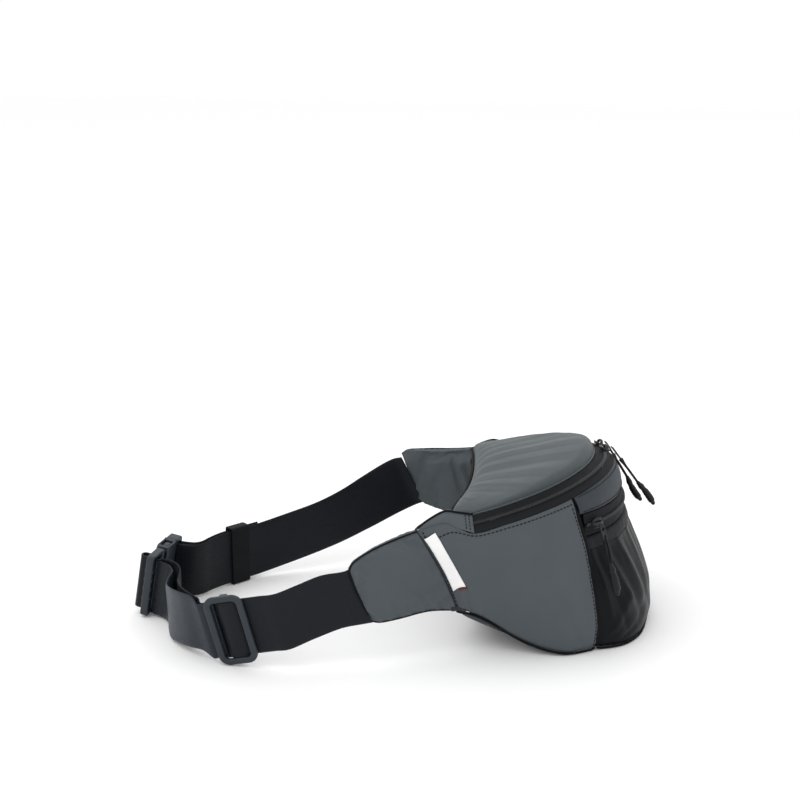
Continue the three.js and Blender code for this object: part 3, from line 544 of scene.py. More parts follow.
def fabric(name, color, pitch=0.00055, weave=0.35, mottle=0.10, rough=0.62, sheen=0.25, sheen_tint=(1, 1, 1), twill=0.0, rib=0.0, rib_pitch=0.0016, rough_var=0.12, crease=0.0, spec=0.35, dust=0.05, painted_shade_ramp=None):
    """woven cloth: weave from the piece's own metric UVs, mottle and dust flecks from object space, painted shade in
    the weave gaps, painted highlight on convex edges
    """
    mt, nt, b = new_mat(name)
    uv = node(nt, "ShaderNodeUVMap")
    uv.uv_map = "UVMap"
    obj = node(nt, "ShaderNodeTexCoord")
    sep = node(nt, "ShaderNodeSeparateXYZ")
    nt.links.new(uv.outputs["UV"], sep.inputs[0])
    k = 2 * math.pi / pitch
    x, y = sep.outputs[0], sep.outputs[1]
    sx = math_node(nt, "SINE", math_node(nt, "MULTIPLY", x, k))
    sy = math_node(nt, "SINE", math_node(nt, "MULTIPLY", y, k))
    w = math_node(nt, "MULTIPLY", sx, sy)
    if twill:
        diag = math_node(nt, "SINE", math_node(nt, "MULTIPLY", math_node(nt, "ADD", x, y), k * 0.7))
        w = math_node(nt, "ADD", math_node(nt, "MULTIPLY", w, 1 - twill), math_node(nt, "MULTIPLY", diag, twill))
    if rib:
        ribs = math_node(nt, "SINE", math_node(nt, "MULTIPLY", x, 2 * math.pi / rib_pitch))
        w = math_node(nt, "ADD", math_node(nt, "MULTIPLY", w, 1 - rib), math_node(nt, "MULTIPLY", ribs, rib))
    n1 = node(nt, "ShaderNodeTexNoise")
    n1.inputs["Scale"].default_value = 38.0
    n1.inputs["Detail"].default_value = 6.0
    n1.inputs["Roughness"].default_value = 0.6
    nt.links.new(obj.outputs["Object"], n1.inputs["Vector"])
    n2 = node(nt, "ShaderNodeTexNoise")
    n2.inputs["Scale"].default_value = 900.0
    n2.inputs["Detail"].default_value = 2.0
    nt.links.new(obj.outputs["Object"], n2.inputs["Vector"])
    # colour: slow mottle, fine yarn variation, painted shade in the gaps between threads (threads lighter than the
    # gaps)
    lo = tuple(c * (1 - mottle) for c in color)
    hi = tuple(min(1, c * (1 + mottle)) for c in color)
    col = ramp(nt, n1.outputs["Fac"], [(0.32, lo), (0.68, hi)])
    # painted shade: the weave gaps are darker than the threads
    thread = math_node(nt, "MULTIPLY_ADD", w, 0.5, 0.5)
    col = mix_col(nt, math_node(nt, "MULTIPLY", thread, 0.30 * weave + 0.04), col, tuple(min(1, c * 1.55 + 0.01) for c in color))
    fleck = ramp(nt, n2.outputs["Fac"], [(0.60, (0, 0, 0)), (0.78, (1, 1, 1))])
    col = mix_col(nt, math_node(nt, "MULTIPLY", fleck, dust), col, tuple(min(1, c * 1.8 + 0.03) for c in color))
    # painted highlight: colour lighter along convex edges (pointiness)
    geo = node(nt, "ShaderNodeNewGeometry")
    edge = ramp(nt, geo.outputs["Pointiness"], [(0.50, (0, 0, 0)), (0.60, (1, 1, 1))])
    col = mix_col(nt, math_node(nt, "MULTIPLY", edge, 0.22), col, tuple(min(1, c * 1.5 + 0.01) for c in color))
    # painted shade: colour darkened along the piece's length (uv y), between the given start and end, to the given
    # factor
    if painted_shade_ramp:
        mr = node(nt, "ShaderNodeMapRange")
        mr.inputs[1].default_value, mr.inputs[2].default_value = painted_shade_ramp[0], painted_shade_ramp[1]
        nt.links.new(y, mr.inputs[0])
        col = mix_col(nt, mr.outputs[0], col, tuple(c * painted_shade_ramp[2] for c in color))
    nt.links.new(col, b.inputs["Base Color"])
    rr = math_node(nt, "MULTIPLY_ADD", n1.outputs["Fac"], rough_var * 2, rough - rough_var)
    nt.links.new(rr, b.inputs["Roughness"])
    b.inputs["Sheen Weight"].default_value = sheen
    b.inputs["Sheen Roughness"].default_value = 0.45
    b.inputs["Sheen Tint"].default_value = (*sheen_tint, 1)
    b.inputs["Specular IOR Level"].default_value = spec
    # relief
    bump1 = node(nt, "ShaderNodeBump")
    bump1.inputs["Strength"].default_value = weave
    bump1.inputs["Distance"].default_value = 0.00012
    nt.links.new(w, bump1.inputs["Height"])
    bump2 = node(nt, "ShaderNodeBump")
    bump2.inputs["Strength"].default_value = 0.25 + crease
    bump2.inputs["Distance"].default_value = 0.0006
    nt.links.new(n1.outputs["Fac"], bump2.inputs["Height"])
    nt.links.new(bump1.outputs["Normal"], bump2.inputs["Normal"])
    nt.links.new(bump2.outputs["Normal"], b.inputs["Normal"])
    return mt


def plastic(name, color, rough=0.42, grain=0.35, edge_light=0.35, spec=0.5, metal=0.0):
    mt, nt, b = new_mat(name)
    obj = node(nt, "ShaderNodeTexCoord")
    n1 = node(nt, "ShaderNodeTexNoise")
    n1.inputs["Scale"].default_value = 1400.0
    n1.inputs["Detail"].default_value = 3.0
    nt.links.new(obj.outputs["Object"], n1.inputs["Vector"])
    n2 = node(nt, "ShaderNodeTexNoise")
    n2.inputs["Scale"].default_value = 60.0
    n2.inputs["Detail"].default_value = 5.0
    nt.links.new(obj.outputs["Object"], n2.inputs["Vector"])
    col = ramp(nt, n2.outputs["Fac"], [(0.3, tuple(c * 0.88 for c in color)), (0.7, tuple(min(1, c * 1.1) for c in color))])
    # painted highlight: colour lighter on convex edges (pointiness), scaled by edge_light and noise
    geo = node(nt, "ShaderNodeNewGeometry")
    edge = ramp(nt, geo.outputs["Pointiness"], [(0.51, (0, 0, 0)), (0.62, (1, 1, 1))])
    edge_highlight_mask = math_node(nt, "MULTIPLY", edge, math_node(nt, "MULTIPLY_ADD", n2.outputs["Fac"], edge_light, edge_light * 0.4))
    col = mix_col(nt, edge_highlight_mask, col, tuple(min(1, c * 1.9 + 0.02) for c in color))
    nt.links.new(col, b.inputs["Base Color"])
    rr = math_node(nt, "MULTIPLY_ADD", n2.outputs["Fac"], 0.16, rough - 0.08)
    nt.links.new(rr, b.inputs["Roughness"])
    b.inputs["Metallic"].default_value = metal
    b.inputs["Specular IOR Level"].default_value = spec
    bump = node(nt, "ShaderNodeBump")
    bump.inputs["Strength"].default_value = grain
    bump.inputs["Distance"].default_value = 0.00008
    nt.links.new(n1.outputs["Fac"], bump.inputs["Height"])
    nt.links.new(bump.outputs["Normal"], b.inputs["Normal"])
    return mt


def lin(h):
    c = [((h >> s) & 255) / 255 for s in (16, 8, 0)]
    return tuple(x / 12.92 if x <= 0.04045 else ((x + 0.055) / 1.055) ** 2.4 for x in c)


M_GREY = fabric("grey_nylon", lin(0x464C50), weave=0.30, mottle=0.05, rough=0.62, sheen=0.10, sheen_tint=(0.85, 0.92, 1.0), spec=0.22)
# painted shade: a darker copy of grey_nylon for the front strip between the zips
M_STRIP_SHADED = fabric("grey_nylon_strip", lin(0x32373C), weave=0.30, mottle=0.05, rough=0.62, sheen=0.06, sheen_tint=(0.85, 0.92, 1.0), spec=0.2)
M_TOP = fabric("top_nylon", lin(0x42494B), weave=0.30, mottle=0.05, rough=0.60, sheen=0.12, sheen_tint=(0.88, 0.95, 0.97), spec=0.24)
M_GREYD = fabric("grey_nylon_bottom", lin(0x2A2E32), weave=0.35, mottle=0.08, rough=0.62, sheen=0.03, spec=0.16)
M_BLACK = fabric("black_nylon", lin(0x0B0E12), pitch=0.0005, weave=0.25, mottle=0.10, rough=0.36, sheen=0.0, rough_var=0.06, spec=0.09, dust=0.01)
M_HEM = fabric("hem_band", lin(0x191B1F), pitch=0.0009, weave=0.6, twill=0.5, mottle=0.10, rough=0.6, sheen=0.02, spec=0.12)
M_WEB = fabric("webbing", lin(0x0F1318), pitch=0.0011, weave=0.85, twill=0.35, rib=0.45, rib_pitch=0.0021, mottle=0.12, rough=0.46, sheen=0.03, sheen_tint=(0.75, 0.85, 1.0), spec=0.14)
# lit copy of the webbing: lighter colour is painted light on the outer strap layer, with painted shade past its bend
M_WEB_LIT = fabric("webbing_painted_lit", lin(0x171F28), pitch=0.0011, weave=0.85, twill=0.35, rib=0.45, rib_pitch=0.0021, mottle=0.12, rough=0.40, sheen=0.05, sheen_tint=(0.6, 0.8, 1.0), spec=0.24, painted_shade_ramp=(0.070, 0.088, 0.40))
M_TAPE = fabric("zip_tape", lin(0x101114), pitch=0.0008, weave=0.8, twill=0.7, mottle=0.12, rough=0.62, sheen=0.0, spec=0.12, dust=0.02)
M_BIND = fabric("binding", lin(0x0B0C0E), pitch=0.0008, weave=0.8, mottle=0.1, rough=0.65, sheen=0.0, spec=0.10, dust=0.02)
M_ELAS = fabric("elastic", lin(0x0F1113), pitch=0.0012, weave=0.9, rib=0.75, rib_pitch=0.0017, mottle=0.1, rough=0.66, sheen=0.02, spec=0.12)
M_MESH = fabric("back_mesh", lin(0x1D1F22), pitch=0.0024, weave=1.0, mottle=0.1, rough=0.75, sheen=0.06, spec=0.15)
M_LABEL = fabric("label_white", (0.83, 0.83, 0.82), pitch=0.0005, weave=0.3, mottle=0.02, rough=0.45, sheen=0.1, dust=0.0, spec=0.4)
M_RED = fabric("label_red", lin(0x5A201C), pitch=0.0006, weave=0.5, mottle=0.1, rough=0.5, sheen=0.03, spec=0.2)
M_THREAD = fabric("thread", lin(0x0C0D0F), pitch=0.0005, weave=0.6, mottle=0.15, rough=0.55, sheen=0.02, spec=0.12)
M_THREADG = fabric("thread_grey", lin(0x33383B), pitch=0.0005, weave=0.6, mottle=0.15, rough=0.5, sheen=0.1, spec=0.2)
M_CORD = fabric("black_cord", lin(0x0E0F12), pitch=0.0009, weave=1.0, twill=0.8, mottle=0.1, rough=0.5, sheen=0.02, spec=0.16)
# painted highlight: coil colour lighter than the tape, standing in for the sheen on the teeth
M_COIL_SHEEN = plastic("zip_coil", lin(0x202327), rough=0.32, grain=0.1, spec=0.5)
M_METAL = plastic("zip_metal", lin(0x1A1C20), rough=0.34, grain=0.2, edge_light=0.6, metal=0.3, spec=0.4)
M_PLAST = plastic("black_plastic", lin(0x262D34), rough=0.40, grain=0.5, edge_light=0.5, spec=0.3)
M_RUBBER = plastic("moulded_end", lin(0x101114), rough=0.5, grain=0.5, edge_light=0.3, spec=0.22)

# ---------------------------------------------------------------- control grids
CORE = A(0, 50, 70)


def L(d):
    return zip_at(d, 0, 0)


def cols(lst):
    return np.array([[np.asarray(c[i], float) for c in lst] for i in range(len(lst[0]))])


EDGE_E = [(-69, -12, 2.5), (-70.5, -14, 24), (-70.5, -9, 58), (-71, -2, 92), L(-39)]
COL_55 = [(-86, 12, 2.5), (-92, 10, 30), (-96, 15, 62), (-97, 23, 95), L(-55)]
COL_70 = [(-91, 42, 10), (-99, 42, 36), (-105, 46, 64), (-109, 51, 92), L(-70)]
COL_84 = [(-96, 74, 28), (-104, 76, 48), (-110, 79, 70), (-114, 82, 92), L(-84)]
COL_P5 = [(-100, 88, 35), (-107, 92, 54), (-112, 98, 76), (-116, 103, 98), (-113, 107, 117)]
EDGE_F = [(-104, 99, 38), (-107, 103, 52), (-112, 110, 72), (-118, 120, 94), (-122, 129, 111)]
SIDE = cols([EDGE_E, COL_55, COL_70, COL_84, COL_P5, EDGE_F])


def mirror(grid, inset=0.0):
    g = np.array(grid, float)
    g[..., 0] = -(g[..., 0] + inset * smooth((g[..., 1] - 80) / 45))
    return g


SIDE_R = mirror(SIDE, 9)
KD = (-38, -25, -12, 0, 12, 25, 38)
strip_top = np.array([L(d) for d in KD])
strip_bot = np.array([pocket_at(d, POC_RU, POC_ZU) for d in KD])
STRIP = np.array([strip_bot, (strip_bot + strip_top) / 2 + np.array([zip_radial(d) for d in KD]), strip_top])


def prow(pts):
    pts = [A(*p) for p in pts]
    return np.array(pts + [A(-p[0], p[1], p[2]) for p in pts[:-1][::-1]])


POCKET = np.array([
    prow([(-69, -12, 2.5), (-54, -33, 2), (-30, -44, 2), (0, -46, 2)]),
    prow([(-69.5, -14, 18), (-54, -33, 17), (-30, -44, 16), (0, -47, 16)]),
    prow([(-70, -13, 38), (-54, -29, 38), (-30, -39.5, 38), (0, -42.5, 38)]),
    prow([(-70, -8.5, 60), (-53, -22.5, 60), (-29, -32, 60), (0, -35, 60)]),
    prow([(-70.5, -4, 80), (-52, -15, 80), (-28, -24.5, 80), (0, -27.5, 80)]),
    prow([pocket_at(-37.5, POC_RL, POC_ZL), pocket_at(-26, POC_RL, POC_ZL), pocket_at(-13, POC_RL, POC_ZL), pocket_at(0, POC_RL, POC_ZL)]),
])
LID_D = (-84, -70, -52, -35, -17, 0, 17, 35, 52, 70, 84)
LID_BACK = np.array([(-98, 107, 120.5), (-84, 107.5, 120), (-66, 107.5, 119), (-46, 107, 118.5), (-24, 108, 118), (-2, 110, 118.5),
                     (20, 113, 119), (41, 117, 119), (60, 121, 119.2), (76, 125, 118.6), (89, 129, 117.5)], float)
LID_RISE = (0, 5, 8.7, 12, 13.6, 16.6, 15.9, 12.4, 10.2, 7.8, 5.4)
LID_T = (0, 0.05, 0.13, 0.3, 0.5, 0.7, 0.87, 0.95, 1)
LID_PUFF = (0, 0.6, 0.8, 0.9, 0.87, 0.85, 0.72, 0.36, 0)
LID = []
for t, puff in zip(LID_T, LID_PUFF):
    row = []
    for k, d in enumerate(LID_D):
        p = zip_at(d, ZIP_IN, ZIP_UP) * (1 - t) + LID_BACK[k] * t
        row.append(p + A(0, 0, 1) * LID_RISE[k] * puff)
    LID.append(row)
LID = np.array(LID)
BOT = []
for y, w, e, c in ((-42, 26, 2.2, 0), (-30, 50, 2.2, 0), (-10, 66, 2.2, 0), (14, 86, 2.5, 0), (40, 90, 9, 0), (60, 92, 20, 2), (78, 96, 30, 8), (98, 101, 37, 18)):
    row = []
    for k in (-1, -0.84, -0.62, -0.3, 0, 0.3, 0.62, 0.84, 1):
        f = 0 if abs(k) <= 0.62 else ((abs(k) - 0.62) / 0.38) ** 1.6
        row.append((k * w, y, c + (e - c) * f))
    BOT.append(row)
BOT = np.array(BOT, float)
back_bot = np.array([(-96, 101, 38), (-66, 103, 27), (-33, 104, 21), (0, 105, 19), (33, 107, 22), (64, 110, 30), (90, 112, 40)], float)
back_top = np.array([(-94, 110, 116), (-66, 109.5, 117), (-33, 109, 116.5), (0, 111, 116.5), (33, 116, 116), (62, 121.5, 114), (84, 127, 110)], float)
BACK = np.array([back_bot * (1 - t) + back_top * t + A(0, 5 * math.sin(math.pi * t), 0) for t in (0, 0.33, 0.67, 1)])
WING_L = cols([EDGE_F,
               [(-117, 120, 40), (-121, 124, 56), (-126, 131, 74), (-129, 137, 92), (-129, 141, 107)],
               [(-130, 141, 36.5), (-134, 145, 52), (-138, 151, 68), (-140, 157, 85), (-139, 160, 99)],
               [(-141, 161, 34), (-144, 165, 47), (-147, 170, 60), (-149, 175, 74), (-150, 179, 87)]])
WING_R = cols([[(-(p[0] + 9 * float(smooth((p[1] - 80) / 45))), p[1], p[2]) for p in EDGE_F],
               [(107, 128, 43), (110, 132, 58), (114, 139, 76), (116, 145, 93), (115, 149, 108)],
               [(111, 156, 45), (115, 160, 60), (119, 166, 76), (120, 171, 92), (118, 175, 105)],
               [(116, 184, 50), (120, 188, 62), (123, 194, 74), (125, 200, 87), (126, 206, 99)]])

# ---------------------------------------------------------------- bag panels
def side_disp(seed, flip=1):
    def f(U, V, X, Y, LU, LV):
        d = 0.55 * fbm(X / 46.0, Y / 60.0, seed, 2)
        d += 0.16 * fbm(X / 13.0, Y / 17.0, seed + 5, 2)
        d += fold_set(X, Y, LU, LV, [
            (0.10, 0.02, 0.26, 0.55, -0.9, 5.0), (0.30, 0.0, 0.36, 0.42, 0.7, 6.0), (0.52, 0.02, 0.50, 0.45, -0.8, 5.0),
            (0.66, 0.0, 0.60, 0.36, 0.8, 5.0), (0.78, 0.02, 0.72, 0.40, -0.8, 4.0), (0.92, 0.05, 0.80, 0.35, 0.7, 4.0),
            (0.98, 0.30, 0.80, 0.62, -0.5, 4.0), (0.62, 0.90, 0.96, 0.78, -0.5, 3.5),
            (0.06, 0.75, 0.22, 0.60, -0.4, 4.0), (0.05, 0.45, 0.20, 0.52, 0.4, 4.0)])
        # fullness at the middle
        d += 1.3 * np.sin(np.pi * np.clip(U, 0, 1)) * np.sin(np.pi * np.clip(V, 0, 1))
        return d
    return f


side_l = Panel(SIDE, CORE, inset=(0.5, 0.6, 0.5, 0.5), disp=side_disp(3), drop=(1.2, 1.0, 1.4, 0.8), seed=21)
ob = side_l.build("side_panel_left_cloth", M_GREY, "root")
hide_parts("side_panel_left")
side_r = Panel(SIDE_R, CORE, inset=(0.5, 0.6, 0.5, 0.5), disp=side_disp(9), drop=(1.2, 1.0, 1.4, 0.8), seed=31)
ob = side_r.build("side_panel_right_cloth", M_GREY, "root")
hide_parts("side_panel_right")

strip = Panel(STRIP, CORE, step=1.6, inset=(0.4, 0.4, 0.4, 0.4), disp=lambda U, V, X, Y, LU, LV: 0.25 * fbm(X / 14.0, Y / 10.0, 4, 2) + 0.5 * np.sin(np.pi * V), drop=(0.9, 0.9, 0.9, 0.9), roll=1.8, pucker=0.15, seed=41)
ob = strip.build("front_strip_cloth", M_STRIP_SHADED, "root")
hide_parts("front_strip")


def pocket_disp(U, V, X, Y, LU, LV):
    d = 0.9 * fbm(X / 30.0, Y / 60.0, 14, 2)
    d += 0.35 * fbm(X / 9.0, Y / 22.0, 17, 2)
    d += fold_set(X, Y, LU, LV, [
        (0.02, 0.98, 0.10, 0.20, 1.3, 3.2), (0.07, 0.96, 0.20, 0.10, -1.4, 3.4), (0.13, 0.97, 0.28, 0.30, 1.5, 3.6),
        (0.20, 0.95, 0.36, 0.15, -1.2, 4.0), (0.28, 0.96, 0.42, 0.25, 1.4, 4.0), (0.36, 0.95, 0.50, 0.10, -1.2, 4.4),
        (0.46, 0.96, 0.52, 0.30, 1.2, 4.0), (0.55, 0.95, 0.60, 0.12, -1.2, 4.2), (0.66, 0.96, 0.66, 0.2, 1.3, 4.0),
        (0.76, 0.96, 0.72, 0.12, -1.2, 3.8), (0.86, 0.97, 0.80, 0.2, 1.2, 3.6), (0.94, 0.97, 0.90, 0.2, -1.2, 3.2),
        (0.02, 0.10, 0.30, 0.50, 1.0, 4.0), (0.10, 0.02, 0.50, 0.40, -0.9, 4.0), (0.60, 0.05, 0.95, 0.45, 0.9, 4.0)])
    d += 1.6 * np.sin(np.pi * U) ** 0.7 * np.sin(np.pi * V)
    return d


pocket = Panel(POCKET, CORE, step=1.8, inset=(0.5, 0.5, 0.5, 0.4), disp=pocket_disp, drop=(1.2, 1.2, 1.3, 0.6), seed=51)
ob = pocket.build("front_pocket_cloth", M_BLACK, "root")
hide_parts("front_pocket_panel")

# hem band below the pocket zip
hu, hv = np.linspace(0.006, 0.994, 110), np.linspace(0.885, 0.992, 9)
HU, HV = np.meshgrid(hu, hv)
p, n = pocket.at(HU.ravel(), HV.ravel(), 0.0)
e = np.minimum(HV - hv[0], hv[-1] - HV) / (hv[-1] - hv[0])
off = (0.25 + 0.65 * smooth(e.ravel() / 0.18))[:, None]
outer = (p + n * (off + 0.0)).reshape(9, 110, 3)
inner = (p - n * 0.3).reshape(9, 110, 3)
ob = shell("pocket_hem_band", outer, inner, M_HEM, "root")

# pocket back wall, inside
g = Panel(POCKET, CORE, step=3.5, inset=(7, 7, 11, 7), drop=(0, 0, 0, 0), disp=lambda U, V, X, Y, LU, LV: 0.5 * fbm(X / 20.0, Y / 25.0, 77, 2), thick=0.9)
N0 = normals(surf(POCKET, g.us, g.vs), CORE)
ob = shell("pocket_back_wall_cloth", g.P - N0 * 15.2, g.inner - N0 * 15.2, M_BLACK, "root")
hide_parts("pocket_back_wall")


def lid_disp(U, V, X, Y, LU, LV):
    d = 0.45 * fbm(X / 40.0, Y / 45.0, 24, 2)
    d += 0.16 * fbm(X / 8.0, Y / 26.0, 27, 2)
    items = []
    fan = [(0.30, 0.16, 0.9, 3.0), (0.335, 0.22, -1.1, 3.2), (0.37, 0.29, 1.0, 3.4), (0.41, 0.36, -1.0, 3.4), (0.45, 0.43, 1.0, 3.6), (0.49, 0.50, -1.1, 3.8),
           (0.53, 0.57, 1.0, 3.8), (0.575, 0.63, -1.1, 3.8), (0.62, 0.69, 1.1, 3.6), (0.665, 0.75, -1.0, 3.4), (0.71, 0.80, 1.0, 3.2), (0.76, 0.86, -0.8, 3.0), (0.24, 0.10, -0.8, 3.0)]
    for ub, uz, amp, w in fan:
        items.append((ub, 0.99, uz * 0.7 + ub * 0.3, 0.16, amp * 0.62, w * 0.95))
    items += [(0.20, 0.98, 0.12, 0.55, 0.6, 3.0), (0.55, 0.5, 0.30, 0.12, -0.35, 6.0), (0.62, 0.62, 0.80, 0.12, -0.35, 6.0)]
    d += fold_set(X, Y, LU, LV, items)
    return d


lid = Panel(LID, A(0, 60, 60), inset=(0.6, 0.6, 0.5, 0.6), disp=lid_disp, drop=(0.8, 0.8, 1.1, 1.2), seed=61, thick=1.2)
lid_ob = lid.build("top_panel_cloth", M_TOP)
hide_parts("top_panel")

bot = Panel(BOT, A(0, 40, 60), step=2.6, inset=(0.6, 0.6, 0.5, 0.5), disp=lambda U, V, X, Y, LU, LV: 0.35 * np.minimum(fbm(X / 30.0, Y / 30.0, 71, 2), 0) * smooth((V - 0.45) / 0.2), drop=(0.0, 0.0, 0, 0.6), seed=71, thick=1.2)
bp = bot.P.copy(); bp[..., 2] = np.maximum(bp[..., 2], 0.05)
bi = bp + A(0, 0, 1.2)
ob = shell("bottom_panel_cloth", bp, bi, M_GREYD, "root")
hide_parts("bottom_panel")


# ---------------------------------------------------------------- padded pieces
def pad(name, G, I, mat, body, bulge=1.5, rim=1.2, uvs=None):
    """closed pad: outer face G, inner face I (rows bottom to top, columns along), with rounded rims top and bottom"""
    m, n = G.shape[:2]
    k = np.linspace(0, 1, 7)[1:-1]
    loops = []
    for j in range(n):
        top_o, top_i = G[-1, j], I[-1, j]
        bot_o, bot_i = G[0, j], I[0, j]
        upv = nrm(G[-1, j] - G[-2, j]); dnv = nrm(G[0, j] - G[1, j])
        th_t, th_b = np.linalg.norm(top_i - top_o), np.linalg.norm(bot_i - bot_o)
        rim_t = [top_o * (1 - q) + top_i * q + upv * rim * th_t / 12 * math.sin(math.pi * q) * 1.2 for q in k]
        rim_b = [bot_i * (1 - q) + bot_o * q + dnv * rim * th_b / 12 * math.sin(math.pi * q) * 1.2 for q in k]
        loops.append(np.array(list(G[:, j]) + rim_t + list(I[::-1, j]) + rim_b))
    R = np.array(loops)  # n, loop, 3
    n, l = R.shape[:2]
    F = [tuple(f) for f in grid_faces(n, l, wrap_u=True)]
    V = list(R.reshape(-1, 3))
    # end caps as strips between the two faces
    mm = m
    for j, rev in ((0, False), (n - 1, True)):
        base = j * l
        left = [base + q for q in range(mm)]
        rightv = [base + mm + 5 + (mm - 1 - q) for q in range(mm)]
        for q in range(mm - 1):
            f = (left[q], left[q + 1], rightv[q + 1], rightv[q])
            F.append(f[::-1] if not rev else f)
        rt = [base + mm + q for q in range(5)]
        F.append(tuple([left[-1]] + rt + [rightv[-1]]) if rev else tuple([rightv[-1]] + rt[::-1] + [left[-1]]))
        rb = [base + 2 * mm + 5 + q for q in range(5)]
        F.append(tuple([rightv[0]] + rb + [left[0]]) if rev else tuple([left[0]] + rb[::-1] + [rightv[0]]))
    V = np.array(V)
    lens = np.arange(n)[:, None] * np.ones((1, l))
    along = arc(R.transpose(1, 0, 2), 1).transpose(1, 0)
    round_ = arc(R, 1)
    uv = np.stack([along.ravel(), round_.ravel()], -1) / 1000.0
    ob = mk(name, V, F, mat, None, uv)
    fix_normals(ob)
    return ob


def wing(name, grid, side, pad_t=12.0, seed=3, step=2.2):
    mid = np.linspace(0, 1, 33)
    lu = arc(surf(grid, mid, [0.5]), 1)[0, -1]
    lv = arc(surf(grid, [0.5], mid), 0)[-1, 0]
    us = np.linspace(0.2 / lu, 1 - 0.4 / lu, int(lu / step) + 1)
    vs = np.linspace(0.6 / lv, 1 - 0.6 / lv, int(lv / step) + 1)
    us = Panel.crowd(us, 3 / lu)
    vs = Panel.crowd(vs, 3 / lv)
    G = surf(grid, us, vs)
    endk = np.clip((us - (1 - 9.0 / lu)) / (9.0 / lu), 0, 1) ** 2 * 0.13
    G = G * (1 - endk[None, :, None]) + G.mean(axis=0)[None] * endk[None, :, None]
    N = normals(G, A(side * 40, 60, 60))
    X, Y = arc(G, 1), arc(G, 0)
    U, V = np.meshgrid(us, vs)
    ev = np.minimum(Y, Y[-1:] - Y)
    eu = np.minimum(X, X[:, -1:] - X)
    full = smooth(ev / 12.0) * smooth((eu + 1.5) / 10.0)
    if side < 0:
        folds_ = [(0.12, 0.95, 0.05, 0.25, -0.6, 2.6), (0.3, 0.98, 0.22, 0.55, 0.4, 4.0), (0.28, 0.02, 0.40, 0.40, -0.7, 3.0), (0.45, 0.0, 0.50, 0.30, 0.5, 3.0), (0.75, 0.03, 0.62, 0.3, -0.6, 3.0), (0.9, 0.9, 0.7, 0.6, -0.4, 3.0)]
    else:
        folds_ = [(0.05, 0.97, 0.07, 0.1, -1.4, 2.6), (0.12, 0.97, 0.14, 0.06, 1.2, 2.6), (0.20, 0.96, 0.20, 0.1, -1.3, 3.0), (0.28, 0.9, 0.27, 0.2, 0.9, 3.0), (0.38, 0.95, 0.36, 0.15, -0.7, 3.6), (0.6, 0.9, 0.5, 0.2, -0.5, 5.0)]
    dd = fold_set(U * lu, V * lv, lu, lv, folds_) + 0.4 * fbm(U * lu / 30, V * lv / 30, seed, 2) + 0.15 * fbm(U * lu / 7, V * lv / 9, seed + 3, 2)
    outer_d = -1.1 * np.exp(-((ev / 2.4) ** 2)) + dd * smooth(ev / 6) + 0.25 * np.exp(-((ev / 7) ** 2)) * vnoise(X / 4.0, 0 * X, seed)
    Go = G + N * outer_d[..., None]
    # thinner at the belt end and by the rims
    t_along = pad_t * (1 - 0.45 * smooth((U - 0.45) / 0.55)) * (0.80 + 0.20 * smooth(eu / 8))
    t_rim = 0.62 + 0.38 * smooth(ev / 13.0)
    inner_dd = fold_set(U * lu, V * lv, lu, lv, [(0.08, 0.97, 0.10, 0.03, 1.9, 2.6), (0.16, 0.97, 0.16, 0.03, -1.8, 2.6), (0.25, 0.95, 0.23, 0.05, 1.6, 3.0), (0.36, 0.93, 0.32, 0.1, -1.2, 3.4), (0.52, 0.9, 0.46, 0.1, -0.8, 4.5), (0.75, 0.9, 0.66, 0.15, 0.6, 5)]) if side > 0 else fold_set(U * lu, V * lv, lu, lv, [(0.2, 0.9, 0.2, 0.1, 0.5, 3.0), (0.5, 0.9, 0.46, 0.1, -0.5, 4)])
    I = G - N * ((t_along * t_rim) + inner_dd * smooth(ev / 6) * 0.8 + 0.3 * fbm(U * lu / 20, V * lv / 20, seed + 9, 2))[..., None]
    return Go, I, N, us, vs


def soften(ob, pins, pressure=4.0, frames=18, cap=3.0, shrink=-0.02):
    """short cloth run under pressure with the seams held, its movement capped"""
    me = ob.data
    nv = len(me.vertices)
    rest = np.zeros(nv * 3)
    me.vertices.foreach_get("co", rest)
    rest = rest.reshape(-1, 3)
    vg = ob.vertex_groups.new(name="pin")
    for i in np.nonzero(pins)[0]:
        vg.add([int(i)], 1.0, "REPLACE")
    mod = ob.modifiers.new("cloth", "CLOTH")
    s = mod.settings
    s.quality = 6
    s.mass = 0.15
    s.tension_stiffness = s.compression_stiffness = 18
    s.shear_stiffness = 6
    s.bending_stiffness = 0.25
    s.use_pressure = True
    s.uniform_pressure_force = pressure
    s.vertex_group_mass = "pin"
    s.shrink_min = s.shrink_max = shrink
    s.effector_weights.gravity = 0.0
    mod.collision_settings.use_collision = False
    scene.frame_start, scene.frame_end = 1, frames
    for f in range(1, frames + 1):
        scene.frame_set(f)
    dg = bpy.context.evaluated_depsgraph_get()
    ev = ob.evaluated_get(dg).data
    co = np.zeros(nv * 3)
    ev.vertices.foreach_get("co", co)
    co = co.reshape(-1, 3)
    ob.modifiers.remove(mod)
    scene.frame_set(1)
    move = co - rest
    d = np.linalg.norm(move, axis=1, keepdims=True)
    capm = cap / 1000.0
    move = np.where(d > 1e-9, move / np.maximum(d, 1e-9) * capm * np.tanh(d / capm), 0)
    move[~np.isfinite(move).all(axis=1)] = 0
    new = rest + move
    me.vertices.foreach_set("co", new.ravel())
    me.update()
    ob.vertex_groups.remove(vg)
    return new


